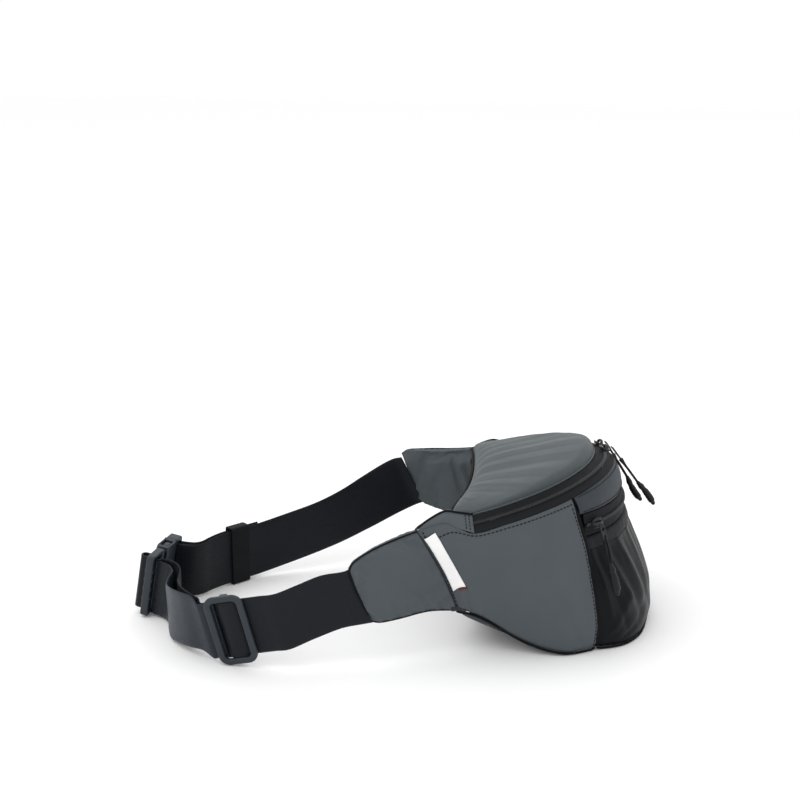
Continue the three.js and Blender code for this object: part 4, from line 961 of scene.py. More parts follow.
wings = {}
for tag, grid, side, seed in (("left", WING_L, -1, 3), ("right", WING_R, 1, 13)):
    Go, I, N, us, vs = wing(f"wing_{tag}", grid, side, seed=seed)
    ob = pad(f"wing_{tag}_pad", Go, I, M_GREY, None)
    mloop = 2 * Go.shape[0] + 10
    n = Go.shape[1]
    pins = np.zeros((n, mloop), bool)
    q = Go.shape[0]
    pins[0] = pins[-1] = True
    pins[:, [0, q - 1, q + 5, 2 * q + 4]] = True
    new = soften(ob, pins.ravel(), pressure=3.0, frames=16, cap=2.2, shrink=-0.03) * 1000
    Go = new.reshape(n, mloop, 3)[:, :q].transpose(1, 0, 2)
    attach(ob, "root")
    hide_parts(f"wing_{tag}")
    wings[tag] = (Go, N, us, vs, I)
    # piped seam round the outer face
    r = 1.15
    k0 = 0
    top = Go[-1, k0:] + N[-1, k0:] * 0.35
    bottom = Go[0, k0:] + N[0, k0:] * 0.35
    end = Go[:, -1] + N[:, -1] * 0.35
    path = np.concatenate([top, end[::-1][1:-1], bottom[::-1]])
    nn = np.concatenate([N[-1, k0:], N[:, -1][::-1][1:-1], N[0, k0:][::-1]])
    path_s, nn_s = resample(path, 1.4, nn)
    # round the two corners
    for _ in range(10):
        path_s[1:-1] = (path_s[:-2] + 2 * path_s[1:-1] + path_s[2:]) / 4
    half = int(len(path_s) * 0.62)
    taper = np.where(np.arange(len(path_s)) < half, 0.75, 0.55)
    ob = tube(f"wing_{tag}_piping", path_s - nn_s * 0.15, taper, M_BIND, "root", ref=nn_s, sides=8)

# back panel: padded, quilted into channels, mesh faced
mid = np.linspace(0, 1, 33)
lu, lv = 190.0, 92.0
us, vs = Panel.crowd(np.linspace(2.0 / lu, 1 - 2.0 / lu, 84), 3 / lu), Panel.crowd(np.linspace(2.0 / lv, 1 - 2.0 / lv, 42), 3 / lv)
G = surf(BACK, us, vs)
N = normals(G, CORE)
X, Y = arc(G, 1), arc(G, 0)
U, V = np.meshgrid(us, vs)
ev = np.minimum(np.minimum(Y, Y[-1:] - Y), np.minimum(X, X[:, -1:] - X))
chan = np.zeros_like(X)
for c in (0.27, 0.5, 0.73):
    chan += np.exp(-(((U - c) * lu / 3.2) ** 2))
d = 0.6 + 2.2 * smooth(ev / 12.0) - 2.4 * chan * smooth(ev / 6.0) - 1.4 * np.exp(-((ev / 2.2) ** 2)) + 0.4 * fbm(U * lu / 22, V * lv / 18, 5, 2)
ob = shell("back_panel_pad", G + N * d[..., None], G - N * 5.0, M_MESH, "root", np.stack([(U * lu).ravel(), (V * lv).ravel()], -1) / 1000.0)
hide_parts("back_panel")
BACK_G, BACK_N = G, N
loopp = np.concatenate([G[0], G[1:, -1], G[-1][::-1][1:], G[:, 0][::-1][1:]])
loopn = np.concatenate([N[0], N[1:, -1], N[-1][::-1][1:], N[:, 0][::-1][1:]])
lp, ln = resample(loopp, 2.0, loopn)
ob = tube("back_panel_binding", lp + ln * 0.2, 1.3, M_BIND, "root", ref=ln, sides=8)

# ---------------------------------------------------------------- corner patches between lid, wing and back
def patch(name, rows, mat, body="root", step=1.6, thick=1.0, inside=CORE, amp=0.25, seed=1, uvoff=0):
    g = np.array(rows, float)
    P = Panel(g, inside, step=step, inset=(0, 0, 0, 0), disp=lambda U, V, X, Y, LU, LV: amp * fbm(X / 12, Y / 9, seed, 2), drop=(0.4, 0.4, 0.4, 0.4), roll=1.4, thick=thick, pucker=0.1)
    ob = P.build(name, mat, body)
    return ob, P


corner = {}
for tag, sgn in (("left", -1), ("right", 1)):
    ze = zip_at(84 * sgn, ZIP_IN, ZIP_UP)
    if sgn < 0:
        p5, f5 = A(-113, 107, 117), A(-122, 129, 111)
        lidc, backc = LID_BACK[0], A(-95.5, 112.5, 116.5)
        G_, N_, us_, vs_, I_ = wings["left"]
    else:
        p5, f5 = SIDE_R[-1, 4], SIDE_R[-1, 5]
        lidc, backc = LID_BACK[-1], A(86, 128.5, 110.5)
        G_, N_, us_, vs_, I_ = wings["right"]
    wi = I_[-1, 3]
    top = A(0, 0, 1)
    # the zip band goes on past the zip's end as a narrowing grey band to the wing seam
    q0, q1 = main_band(83.2 * sgn, 0.3, 0.7), main_band(83.2 * sgn, BAND_L - 0.3, 0.7)
    grid_ = SIDE if sgn < 0 else SIDE_R
    low = surf(grid_, np.array([0.6, 0.7, 0.8, 0.9, 0.985]), [1.0])[0] + top * 0.3
    low[0] = q0
    rise_ = q1 - q0
    upp = np.array([low[k] + rise_ * w_ for k, w_ in enumerate((1.0, 0.86, 0.62, 0.38, 0.16))])
    outw = nrm(A(sgn * 1.0, 0.0, 0.75))
    rows = [list(low), [(low[k] + upp[k]) / 2 + outw * b_ for k, b_ in enumerate((0.2, 0.9, 1.1, 0.8, 0.3))], list(upp)]
    ob, zp = patch(f"zip_end_cover_{tag}", rows, M_GREY, thick=0.9, amp=0.12, seed=95 + sgn)
    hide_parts(f"main_zip_end_{tag}")
    pu, fu = upp[2], upp[4]
    rows = [
        [ze + top * 0.2, upp[1], pu + top * 0.2, upp[3], fu + top * 0.2],
        [(ze * 0.6 + lidc * 0.4) + top * 0.4, (upp[1] * 0.55 + lidc * 0.45) + top * 1.6, (pu * 0.5 + (lidc * 0.7 + backc * 0.3) * 0.5) + top * 2.4, (upp[3] + (backc + wi) / 2) / 2 + top * 2.0, fu * 0.5 + wi * 0.5 + top * 1.4],
        [lidc + top * 0.1, lidc * 0.8 + backc * 0.2 + top * 0.4, backc * 0.7 + lidc * 0.3 + top * 0.6, (backc + wi) / 2 + top * 0.5, wi + top * 0.2],
    ]
    ob, cp = patch(f"corner_patch_{tag}", rows, M_TOP, thick=1.0, inside=A(0, 60, 60), amp=0.4, seed=91 + sgn)
    corner[tag] = cp
    ob = tube(f"zip_end_piping_{tag}", resample(cr(upp, np.linspace(0, 1, 40)) + outw * 0.4, 1.5), 0.85, M_BIND, "root", ref=top, sides=8)
    # stitched rows near the band's end
    runs = []
    for uu in (0.06, 0.12):
        pts, nn = zp.at(np.full(24, uu), np.linspace(0.06, 0.94, 24), 0.15)
        runs.append((pts, nn))
    stitches(f"zip_end_stitch_{tag}", runs, M_THREAD, "root", pitch=2.6, dash=2.0, r=0.4)

# ---------------------------------------------------------------- seams: piping and stitching
def side_runs(P):
    runs = []
    u = np.linspace(0.012, 0.62, 120)   # below the main zip
    runs.append(P.at(u, 1 - 0.030 - 0.0 * u, 0.12))
    u = np.linspace(0.62, 0.905, 60)    # goes on to the label
    v = 0.970 - 0.12 * smooth((u - 0.62) / 0.285)
    runs.append(P.at(u, v, 0.12))
    v = np.linspace(0.02, 0.955, 120)   # down the pocket seam
    runs.append(P.at(0.020 + 0 * v, v, 0.12))
    v = np.linspace(0.02, 0.975, 90)    # beside the wing seam
    runs.append(P.at(0.966 + 0 * v, v, 0.12))
    return runs


for tag, P in (("left", side_l), ("right", side_r)):
    ob = stitches(f"side_stitch_{tag}", side_runs(P), M_THREAD, "root", pitch=3.3, dash=2.6, r=0.46)
    v = np.linspace(0.0, 1.0, 110)
    pts, nn = P.at(np.linspace(0.01, 0.99, 140), np.zeros(140), 0.0)
    ob = tube(f"bottom_piping_{tag}", resample(np.stack([pts[:, 0] + nn[:, 0] * 0.9, pts[:, 1] + nn[:, 1] * 0.9, np.maximum(pts[:, 2] - 1.6, 1.3)], -1), 2.0), 0.95, M_BIND, "root", ref=A(0, 0, 1), sides=8)

pts, nn = strip.at(np.linspace(0.02, 0.98, 90), np.full(90, 0.88), 0.12)
r1 = (pts, nn)
pts, nn = strip.at(np.linspace(0.02, 0.98, 90), np.full(90, 0.12), 0.12)
ob = stitches("strip_stitch", [r1, (pts, nn)], M_THREAD, "root", pitch=3.2, dash=2.5, r=0.42)
pts, nn = pocket.at(np.linspace(0.01, 0.99, 150), np.full(150, 0.878), 0.12)
ob = stitches("pocket_hem_stitch", [(pts, nn)], M_THREAD, "root", pitch=2.8, dash=2.0, r=0.26)
pts, nn = pocket.at(np.linspace(0.01, 0.99, 150), np.zeros(150), 0.0)
ob = tube("pocket_bottom_piping", resample(np.stack([pts[:, 0] + nn[:, 0] * 0.7, pts[:, 1] + nn[:, 1] * 0.7, np.maximum(pts[:, 2] - 1.4, 1.3)], -1), 2.0), 0.95, M_BIND, "root", ref=A(0, 0, 1), sides=8)

# sunk seam allowance along the two side seams
for tag, grid in (("left", SIDE), ("right", SIDE_R)):
    vv = np.linspace(0.0, 1.0, 60)
    Gs = surf(grid, np.linspace(0, 1, 41), vv)
    Ns = normals(Gs, CORE)
    for nm, col, depth, rad in (("front", 0, 3.0, 3.0), ("rear", -1, 3.2, 3.4)):
        pth = Gs[:, col] - Ns[:, col] * depth
        nrf = Ns[:, col]
        thin = rad * (0.35 + 0.65 * smooth(np.minimum(vv, 1 - vv) / 0.10))
        pth = pth[1:-1]; nrf = nrf[1:-1]; thin = thin[1:-1]
        pth[:, 2] = np.maximum(pth[:, 2], rad + 0.1)
        ob = tube(f"side_seam_{nm}_{tag}", pth, thin, M_BIND if nm == "front" else M_GREYD, "root", ref=nrf, sides=12, flat_ratio=0.75)

# seam corner under each wing's root
for tag, grid, wg in (("left", SIDE, WING_L), ("right", SIDE_R, WING_R)):
    b0, b1 = grid[0, 4], grid[0, 5]
    b2 = b1 + (wg[0, 1] - b1) * 0.22
    inw = nrm(CORE - b1) * 2.4
    pth = cr(np.array([b0 * 0.4 + b1 * 0.6 + inw, b1 + inw, b2 + inw]) + A(0, 0, 1.2), np.linspace(0, 1, 14))
    ob = tube(f"seam_corner_{tag}", pth, 2.6, M_GREYD, "root", ref=A(0, 0, 1), sides=12)

# back-top seam piping and the lid's edge binding
pts, nn = lid.at(np.linspace(0.01, 0.99, 150), np.full(150, 0.999), 0.0)
ob = tube("top_back_piping", resample(pts + nn * 0.5 + A(0, 0.8, -0.4), 2.0), 1.2, M_BIND, "root", ref=A(0, 0, 1), sides=8)
pts, nn = lid.at(np.linspace(0.0, 1.0, 260), np.full(260, 0.0), 0.0)
lid_path = resample(pts + nn * 0.2, 1.6)
lid_bind = tube("lid_edge_roll", lid_path, 0.85 + 0.12 * vnoise(np.arange(len(lid_path)) * 0.35, 0 * lid_path[:, 0] + 0.5, 8), M_TOP, None, ref=A(0, 0, 1), sides=8)

# ---------------------------------------------------------------- zips
def band_tape(name, band, s0, s1, a0, a1, mat, ridge_side, flip=False):
    na, ns = int((a1 - a0) / 360 * 2 * math.pi * 114 / 2.0), 10
    aa, ss = np.linspace(a0, a1, na + 1), np.linspace(s0, s1, ns + 1)
    O = np.zeros((ns + 1, na + 1, 3)); I = np.zeros_like(O)
    for i, s in enumerate(ss):
        k = (s - s0) / (s1 - s0)
        near = k if ridge_side > 0 else 1 - k      # 1 at the teeth
        d = -0.25 + 0.55 * math.exp(-(((near - 0.93) / 0.10) ** 2)) - 0.5 * max(0, 0.15 - near) / 0.15
        for j, a in enumerate(aa):
            dj = d + 0.10 * float(vnoise(a / 1.7, s / 6.0, 5))
            O[i, j] = band(a, s, dj)
            I[i, j] = band(a, s, dj - 0.75)
    return shell(name, O, I, mat, None)


def teeth(name, band, frame_fn, s_lo, s_hi, a0, a1, pitch_deg, phase, mat):
    Vs, Fs, base = [], [], 0
    S = 6
    ang = np.linspace(0, 2 * math.pi, S, endpoint=False)
    a = a0 + phase * pitch_deg
    prof = [(0.0, 0.25, 0.35), (0.12, 0.78, 0.62), (0.55, 0.85, 0.95), (0.88, 1.0, 0.80), (1.0, 0.45, 0.5)]
    R = 0.52
    while a < a1:
        o, t, d, w = frame_fn(a)
        for k, rr, out in prof:
            c = band(a, s_lo + (s_hi - s_lo) * k, out)
            Vs.append(c + R * rr * (np.cos(ang)[:, None] * w * 1.15 + np.sin(ang)[:, None] * t * 0.95))
        mm = len(prof)
        Fs += [tuple(x) for x in grid_faces(mm, S, base, wrap_u=True)]
        Fs += [tuple(base + q for q in range(S - 1, -1, -1)), tuple(base + (mm - 1) * S + q for q in range(S))]
        base += mm * S
        a += pitch_deg
    V = np.concatenate(Vs)
    ob = mk(name, V, Fs, mat, None, V[:, :2] / 1000.0)
    return fix_normals(ob)


mp = 1.5 / 114.3 * 180 / math.pi
obs = []
ob = band_tape("main_zip_tape_lower_cloth", main_band, 0.4, 7.6, -ZIP_END, ZIP_END, M_TAPE, 1)
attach(ob, "root"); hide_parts("main_zip_tape_lower")
ob = teeth("main_zip_teeth_lower", main_band, main_frame, 7.5, 9.35, -ZIP_END + 1, ZIP_END - 1, mp, 0.0, M_COIL_SHEEN)
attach(ob, "root"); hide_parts("main_zip_coil_lower")
tape_u = band_tape("main_zip_tape_upper_cloth", main_band, 10.75, 18.0, -ZIP_END, ZIP_END, M_TAPE, -1)
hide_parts("main_zip_tape_upper")
teeth_u = teeth("main_zip_teeth_upper", main_band, main_frame, 10.85, 9.0, -ZIP_END + 1, ZIP_END - 1, mp, 0.5, M_COIL_SHEEN)
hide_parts("main_zip_coil_upper")
for ob in (lid_ob, tape_u, teeth_u, lid_bind):
    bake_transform(ob)

pp_ = 1.35 / 114.0 * 180 / math.pi
ob = band_tape("pocket_zip_tape_lower_cloth", pocket_band, 0.5, 8.2, -36.8, 36.8, M_TAPE, 1)
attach(ob, "root"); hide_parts("pocket_zip_tape_lower")
ob = band_tape("pocket_zip_tape_upper_cloth", pocket_band, 11.1, 18.8, -36.8, 36.8, M_TAPE, -1)
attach(ob, "root"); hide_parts("pocket_zip_tape_upper")
ob = teeth("pocket_zip_teeth_lower", pocket_band, pocket_frame, 8.1, 9.8, -35.8, 35.8, pp_, 0.0, M_COIL_SHEEN)
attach(ob, "root"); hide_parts("pocket_zip_coil_lower")
ob = teeth("pocket_zip_teeth_upper", pocket_band, pocket_frame, 11.15, 9.45, -35.8, 35.8, pp_, 0.5, M_COIL_SHEEN)
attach(ob, "root"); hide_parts("pocket_zip_coil_upper")


def slider_piece(name, fr, node_name, body):
    """wedge body with two wings, a bridge and a nose"""
    o, t, d, w = fr
    shape = []
    for k in np.linspace(0, 2 * math.pi, 40, endpoint=False):   # plan of the body: wide at the nose, waisted at the tail
        c, s = math.cos(k), math.sin(k)
        x = 5.7 * math.copysign(abs(c) ** 0.7, c)
        wide = 4.4 - 0.7 * smooth((-x + 1) / 6) + 0.2 * math.cos(x)
        y = wide * math.copysign(abs(s) ** 0.7, s)
        shape.append((x, y))
    shape = np.array(shape)
    parts = [plate(name + "_a", o, t, d, w, shape, -0.25, 1.45, 0.5, M_METAL)]
    # bridge: an arch along the slider
    path = [o + t * x + w * z for x, z in ((-4.6, 1.2), (-4.2, 2.6), (-3.0, 3.7), (-1.2, 4.25), (1.2, 4.25), (3.0, 3.7), (4.2, 2.6), (4.6, 1.2))]
    path = cr(np.array(path), np.linspace(0, 1, 26))
    parts.append(tube(name + "_b", path, 0.95, M_METAL, None, ref=d, sides=10, flat_ratio=1.5))
    # side rails
    for sg in (-1, 1):
        path = [o + t * x + d * sg * y + w * 1.5 for x, y in ((-4.9, 3.1), (-2, 3.3), (1, 3.6), (4.6, 3.5))]
        parts.append(tube(name + "_r", cr(np.array(path), np.linspace(0, 1, 14)), 0.6, M_METAL, None, ref=w, sides=8))
    ob = join(name, parts, body)
    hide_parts(node_name)
    return ob


slider_piece("main_slider_left_body_metal", main_frame(SLIDER_L), "main_slider_left", "main_slider_left_body")
slider_piece("main_slider_right_body_metal", main_frame(SLIDER_R), "main_slider_right", "main_slider_right_body")
slider_piece("pocket_slider_body_metal", pocket_frame(SLIDER_P), "pocket_slider", "pocket_slider_body")


def pull(prefix, start, g, q, tab_l, cord_l, end_l, body, nodes, curve=0.0):
    x = nrm(np.cross(q, g)); qq = nrm(np.cross(g, x)); g = nrm(g)
    tab_n, ca_n, cb_n, end_n = nodes
    # tab with an eye at each end
    outer = rrect(5.6, tab_l, 2.4, 8, 0, tab_l / 2)
    hole1 = rrect(2.6, 3.0, 1.25, 8, 0, 2.4)
    body_ring = ring_plate(prefix + "_tab_ring", start, x, g, qq, outer * 1.0, rrect(2.7, tab_l - 3.0, 1.3, 8, 0, tab_l / 2), -0.75, 0.75, 0.45, M_METAL)
    web_ = plate(prefix + "_tab_web", start, x, g, qq, rrect(3.4, tab_l - 9.2, 0.8, 4, 0, tab_l / 2), -0.5, 0.5, 0.25, M_METAL)
    hook = tube(prefix + "_hook", cr(np.array([start + g * 1.2 + x * -1.7, start - g * 0.6 + x * -1.0 - qq * 0.3, start - g * 1.3 - qq * 0.4, start - g * 0.6 + x * 1.0 - qq * 0.3, start + g * 1.2 + x * 1.7]), np.linspace(0, 1, 20)), 0.62, M_METAL, None, ref=qq, sides=8)
    tab = join(prefix + "_tab_metal", [body_ring, web_, hook], body)
    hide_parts(tab_n)
    c0 = start + g * (tab_l - 1.2)
    e0 = start + g * (tab_l + 0.4 + cord_l + 0.4)
    # one cord looped through the eye: two strands
    for sg, nm in ((-1, ca_n), (1, cb_n)):
        pts = [c0 + x * 0.15 * sg + qq * 0.9 * sg, c0 + g * 1.8 + x * 0.9 * sg + qq * 0.7 * sg, c0 + g * (cord_l * 0.3) + x * (1.7 + curve * 0.3) * sg,
               c0 + g * (cord_l * 0.62) + x * (1.9 + 0.5 * sg * curve) * sg, e0 - g * 2.5 + x * 1.25 * sg, e0 + g * 1.0 + x * 1.0 * sg]
        path = cr(np.array(pts), np.linspace(0, 1, 44))
        s = tube(f"{prefix}_cord_{'a' if sg < 0 else 'b'}", path, 1.0, M_CORD, body, ref=qq, sides=10)
        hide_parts(nm)
    # moulded end: waisted grip with cross ridges, blending round the cord
    n = 46
    ts = np.linspace(0, 1, n)
    path = np.array([e0 + g * end_l * k + qq * curve * 1.6 * math.sin(math.pi * k * 0.9) for k in ts])
    prof = 0.62 + 0.38 * smooth(ts / 0.22) - 0.20 * np.exp(-(((ts - 0.30) / 0.10) ** 2)) + 0.05 * np.exp(-(((ts - 0.75) / 0.2) ** 2))
    prof = prof * (1 - 0.35 * smooth((ts - 0.86) / 0.14))
    ridge = 1 + 0.07 * np.cos(ts * end_l * 2 * math.pi / 1.9) * smooth((ts - 0.36) / 0.06) * smooth((0.88 - ts) / 0.06)
    e = tube(f"{prefix}_end_moulded", path, 4.0 * prof * ridge, M_RUBBER, body, ref=qq, sides=20, flat_ratio=0.70)
    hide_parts(end_n)


fl, fR, fp = main_frame(SLIDER_L), main_frame(SLIDER_R), pocket_frame(SLIDER_P)
pull("main_pull_left", fl[0] + fl[3] * 4.0 + fl[2] * -5.4, nrm(A(0.06, -0.60, -0.80)), fl[3], 14, 24, 22, "main_pull_left",
     ("main_pull_tab_left", "main_pull_cord_left_a", "main_pull_cord_left_b", "main_pull_end_left"), 0.5)
pull("main_pull_right", fR[0] + fR[3] * 4.0 + fR[2] * -5.4, nrm(A(-0.02, -0.55, -0.835)), fR[3], 14, 22, 22, "main_pull_right",
     ("main_pull_tab_right", "main_pull_cord_right_a", "main_pull_cord_right_b", "main_pull_end_right"), -0.8)
pull("pocket_pull", fp[0] + fp[3] * 5.6 + fp[2] * -1.5, nrm(A(-0.12, -0.27, -0.955)), fp[3], 13, 20, 24, "pocket_pull",
     ("pocket_pull_tab", "pocket_pull_cord_a", "pocket_pull_cord_b", "pocket_pull_end"), 0.3)

# ---------------------------------------------------------------- label
LUV = [(0.914, 0.3125), (0.775, 0.358), (0.88, 0.878), (0.975, 0.846)]


def label_strip(name, s0, s1, mat, node_name, nx=12, ny=44, out=0.75, k0=0.0):
    ss, kk = np.linspace(s0, s1, ny), np.linspace(k0, 1, nx)
    O = np.zeros((ny, nx, 3)); I = np.zeros_like(O)
    for i, s in enumerate(ss):
        a = np.array(LUV[0]) * (1 - s) + np.array(LUV[3]) * s
        b = np.array(LUV[1]) * (1 - s) + np.array(LUV[2]) * s
        wd = 0.42 * max(0.0, 1 - s) ** 1.2
        kq = kk * (1 + wd) - wd * 0.35
        uvk = a[None] * (1 - kq[:, None]) + b[None] * kq[:, None]
        p, n = side_l.at(uvk[:, 0], uvk[:, 1], 0.0)
        edge = np.minimum(kk, 1 - kk) * 12
        lift = 0.35 + out * (0.55 + 0.45 * smooth(edge / 1.2)) + 0.10 * vnoise(kk * 3, s * 9 + 0 * kk, 4)
        O[i] = p + n * lift[:, None]
        I[i] = p + n * (lift - 0.45)[:, None]
    ob = shell(name, O, I, mat, "root")
    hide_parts(node_name)
    return O


LO = label_strip("label_woven", 0.0, 1.07, M_LABEL, "label")
label_strip("label_tab_woven", -0.05, 0.03, M_RED, "label_tab", nx=8, ny=8, out=0.45, k0=0.5)
runs = []
for k in (1, -2):
    pts = LO[:, k]
    nn = nrm(pts - CORE)
    runs.append((LO[k if k > 0 else -2][1:-1], nrm(LO[k if k > 0 else -2][1:-1] - CORE)))
ob = stitches("label_stitch", runs, M_LABEL, "root", pitch=1.9, dash=1.3, r=0.18)


# ---------------------------------------------------------------- webbing
BK_Y, LEAN = 374.5, math.radians(10)
LEAN_C, LEAN_S = math.cos(LEAN), math.sin(LEAN)


def lean_pt(x, y, z):
    dy, dz = y - BK_Y, z - 29
    return A(x, BK_Y + dy * LEAN_C - dz * LEAN_S, 29.4 + dy * LEAN_S + dz * LEAN_C)


def lean_end(stations, ks):
    out, n0 = [], len(stations) - len(ks)
    for i, st in enumerate(stations):
        k = ks[i - n0] if i >= n0 else 0
        out.append(tuple(A(*q) - A(0, k * math.tan(LEAN) * (q[2] - 29), 0) for q in st))
    return out


TG_G = A(-171, 269.4, 32.5)
TG_T = nrm(A(-0.02, 0.974, -0.226))
TG_W = orth((-0.095, 0.224, 0.970), TG_T)
TG_N = nrm(np.cross(TG_W, TG_T))
TG_N = TG_N if TG_N[0] < 0 else -TG_N
H = 25.0


def tg(tau, h, off=0.0):
    return TG_G + TG_T * tau + TG_W * h + TG_N * off


def ribbon(name, stations, mat, body=None, t=WEB_T, n_across=34, step=1.6, ripple=0.0, seed=1, uneven=None):
    st = np.array([[np.asarray(a, float), np.asarray(b, float)] for a, b in stations])
    centre = st.mean(1)
    Ltot = arc(centre[None], 1)[0]
    # spline through the stations at even steps
    n = max(8, int(Ltot[-1] / step))
    u_of = np.interp(np.linspace(0, Ltot[-1], n + 1), Ltot, np.linspace(0, 1, len(st)))
    P = cr(st, u_of)     # n+1, 2, 3
    lo, hi = P[:, 0], P[:, 1]
    k = np.linspace(-1, 1, n_across)
    k = np.sign(k) * (1 - (1 - np.abs(k)) ** 1.15)
    mid = lo[:, None] * (1 - (k[None, :, None] + 1) / 2) + hi[:, None] * ((k[None, :, None] + 1) / 2)
    T = nrm(np.gradient((lo + hi) / 2, axis=0))
    N = nrm(np.cross(T, hi - lo))
    Lc = arc(((lo + hi) / 2)[None], 1)[0]
    wob = ripple * (vnoise(Lc[:, None] / 28 + 0 * k[None], k[None] * 1.2 + 0 * Lc[:, None], seed))
    if uneven is not None:
        wob = wob + uneven(Lc[:, None], k[None], Lc[-1])
    mid = mid + N[:, None] * wob[..., None]
    half = t / 2 * np.sqrt(np.clip(1 - np.abs(k) ** 14, 0.02, 1)) * (1 - 0.12 * np.exp(-(((np.abs(k) - 0.93) / 0.03) ** 2)))
    O = mid + N[:, None] * half[None, :, None]
    I = mid - N[:, None] * half[None, :, None]
    uv = np.stack([np.tile(k * 0.025, len(Lc)), np.repeat(Lc / 1000.0, n_across)], -1)
    ob = shell(name, O, I, mat, body, uv)
    return ob, O, I, N, Lc, k


web_root = [
    ((-141.5, 160, 37), (-147, 178, 83)),
    ((-143.2, 165, 36.2), (-150.2, 183, 81.5)),
    ((-149, 184, 32.5), (-156, 199, 79)),
    ((-157, 204, 24.5), (-164, 217, 72)),
    (tg(-44, -H), tg(-44, H)), (tg(-30, -H), tg(-30, H)), (tg(-17, -H), tg(-17, H)), (tg(-11, -H, 0.2), tg(-11, H, 0.2)), (tg(-7.5, -H - 0.7, 2.2), tg(-7.5, H, 2.2)), (tg(-3, -H - 1.0, 3.3), tg(-3, H, 3.3)),
    (tg(2.0, -H - 1.0, 3.2), tg(2.0, H, 3.2)), (tg(5.6, -H - 1.0, 1.6), tg(5.6, H, 1.6)), (tg(7.4, -H - 0.9, -1.6), tg(7.4, H, -1.6)), (tg(9.4, -H - 1.6, -3.6), tg(9.4, H - 0.5, -3.6)),
]
ob, O, I, N, Lc, kk = ribbon("strap_left_webbing", web_root, M_WEB, "root", ripple=0.35, seed=4)
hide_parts("strap_left")
web_outer = [
    (tg(10.5, -H - 0.6, -1.2), tg(10.5, H, -1.2)), (tg(15, -H - 0.4, -0.2), tg(15, H, -0.2)), (tg(19.5, -H), tg(19.5, H)), (tg(23.5, -H), tg(23.5, H)),
    ((-165, 297.5, 7.0), (-171, 304, 56.6)), ((-160, 311, 6.2), (-164, 317, 56)), ((-151, 325, 4.4), (-153, 330, 54.3)), ((-140, 336, 2), (-140.5, 338.5, 52)),
    ((-126.5, 343.3, 2), (-127, 342.8, 52)), ((-113, 348, 2), (-113.5, 346, 52)), ((-101.5, 357, 2), (-102.5, 355, 52)), ((-97, 366.4, 2.4), (-97.4, 366.4, 52.4)), ((-95.6, 370.5, 3.2), (-95.6, 370.5, 52.6)),
]
strap_outer, O, I, N, Lc, kk = ribbon("strap_left_outer_webbing", lean_end(web_outer, (0.1, 0.35, 0.7, 1, 1)), M_WEB_LIT, None, ripple=0.3, seed=7)
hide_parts("strap_left_outer")
web_inner_a = [(tg(5.5, -H - 2.6, -3.9), tg(5.5, H - 1, -3.9)), (tg(14, -H - 2.6, -3.9), tg(14, H - 1, -3.9)), (tg(22, -H + 0.4, -3.9), tg(22, H - 1, -3.9)), ((-159, 294.2, 4.6), (-164.6, 300.6, 53)), ((-158.6, 294.9, 4.6), (-164.1, 301.3, 53))]
sewn, O, I, N, Lc, kk = ribbon("strap_return_sewn_webbing", web_inner_a, M_WEB, None)
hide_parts("strap_return_sewn_end")
web_inner_b = [
    ((-158.2, 295.2, 4.6), (-163.6, 301.7, 52.8)), ((-153, 304.5, 4), (-156.5, 311.3, 52.6)), ((-144.5, 316, 3.2), (-146.5, 322.2, 52.4)), ((-134, 326, 2.6), (-135, 330.6, 52.2)),
    ((-121, 334.2, 2.2), (-121.5, 335.6, 52)), ((-107, 341.6, 2.2), (-107.5, 341.2, 52)), ((-95.5, 351.5, 2.2), (-96, 350.8, 52)), ((-91.5, 359.5, 2.4), (-91.7, 359.5, 52.3)), ((-90.4, 366.4, 2.6), (-90.4, 366.4, 52.4)), ((-90.2, 369.5, 3.0), (-90.2, 369.5, 52.6)),
]
strap_ret, O, I, N, Lc, kk = ribbon("strap_return_webbing", lean_end(web_inner_b, (0.1, 0.35, 0.68, 0.85, 1, 1)), M_WEB, None, ripple=0.3, seed=9)
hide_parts("strap_return")
for ob in (strap_outer, strap_ret):
    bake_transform(ob)
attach(sewn, "adjuster")
web_far = [
    ((111.5, 180, 50), (111, 202, 95)),
    ((113.6, 188.8, 47.4), (113.4, 211.2, 92.2)), ((101, 203, 42), (101.5, 220, 89)), ((83, 223, 33), (85, 233, 82)), ((63, 246, 23.5), (64, 249, 73.2)),
    ((46, 268, 16), (46, 267, 66)), ((30, 293, 8), (31, 291.5, 58)), ((13.5, 313, 3), (14, 312, 53)), ((2, 322.2, 2.2), (2.4, 321.6, 52.2)), ((-9.5, 329.8, 2), (-9.2, 329.4, 52)),
    ((-22, 336.8, 2), (-21.9, 336.6, 52)), ((-34, 341.6, 2), (-34, 341.5, 52)), ((-45, 345, 2), (-45, 345, 52)), ((-51.6, 351, 2.2), (-51.6, 351, 52.2)), ((-53.6, 359, 2.4), (-53.6, 359, 52.4)), ((-53.8, 366.2, 2.6), (-53.8, 366.2, 52.6)), ((-53.9, 369.6, 3.0), (-53.9, 369.6, 52.6)),
]
web_far[0] = ((114.5, 180, 51), (115.5, 203, 94))
ob, O, I, N, Lc, kk = ribbon("strap_right_webbing", lean_end(web_far, (0.1, 0.3, 0.6, 0.85, 0.96, 1, 1)), M_WEB, "root", ripple=0.5, seed=15)
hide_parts("strap_right")
web_tail = [
    ((16.6, 316.2, 2.8), (17, 315.4, 52.8)), ((4.6, 325.6, 2.2), (4.9, 325.1, 52.2)), ((-7.5, 333.3, 2), (-7.3, 332.9, 52)), ((-20.2, 340.4, 2), (-20.1, 340.2, 52)),
    ((-32.6, 345.4, 2), (-32.6, 345.3, 52)), ((-41.5, 349, 2), (-41.5, 349, 52)), ((-46.6, 354.6, 2.2), (-46.6, 354.6, 52.2)), ((-47.6, 361, 2.4), (-47.6, 361, 52.4)), ((-47.6, 366.2, 2.6), (-47.6, 366.2, 52.6)), ((-47.7, 369.6, 3.0), (-47.7, 369.6, 52.6)),
]
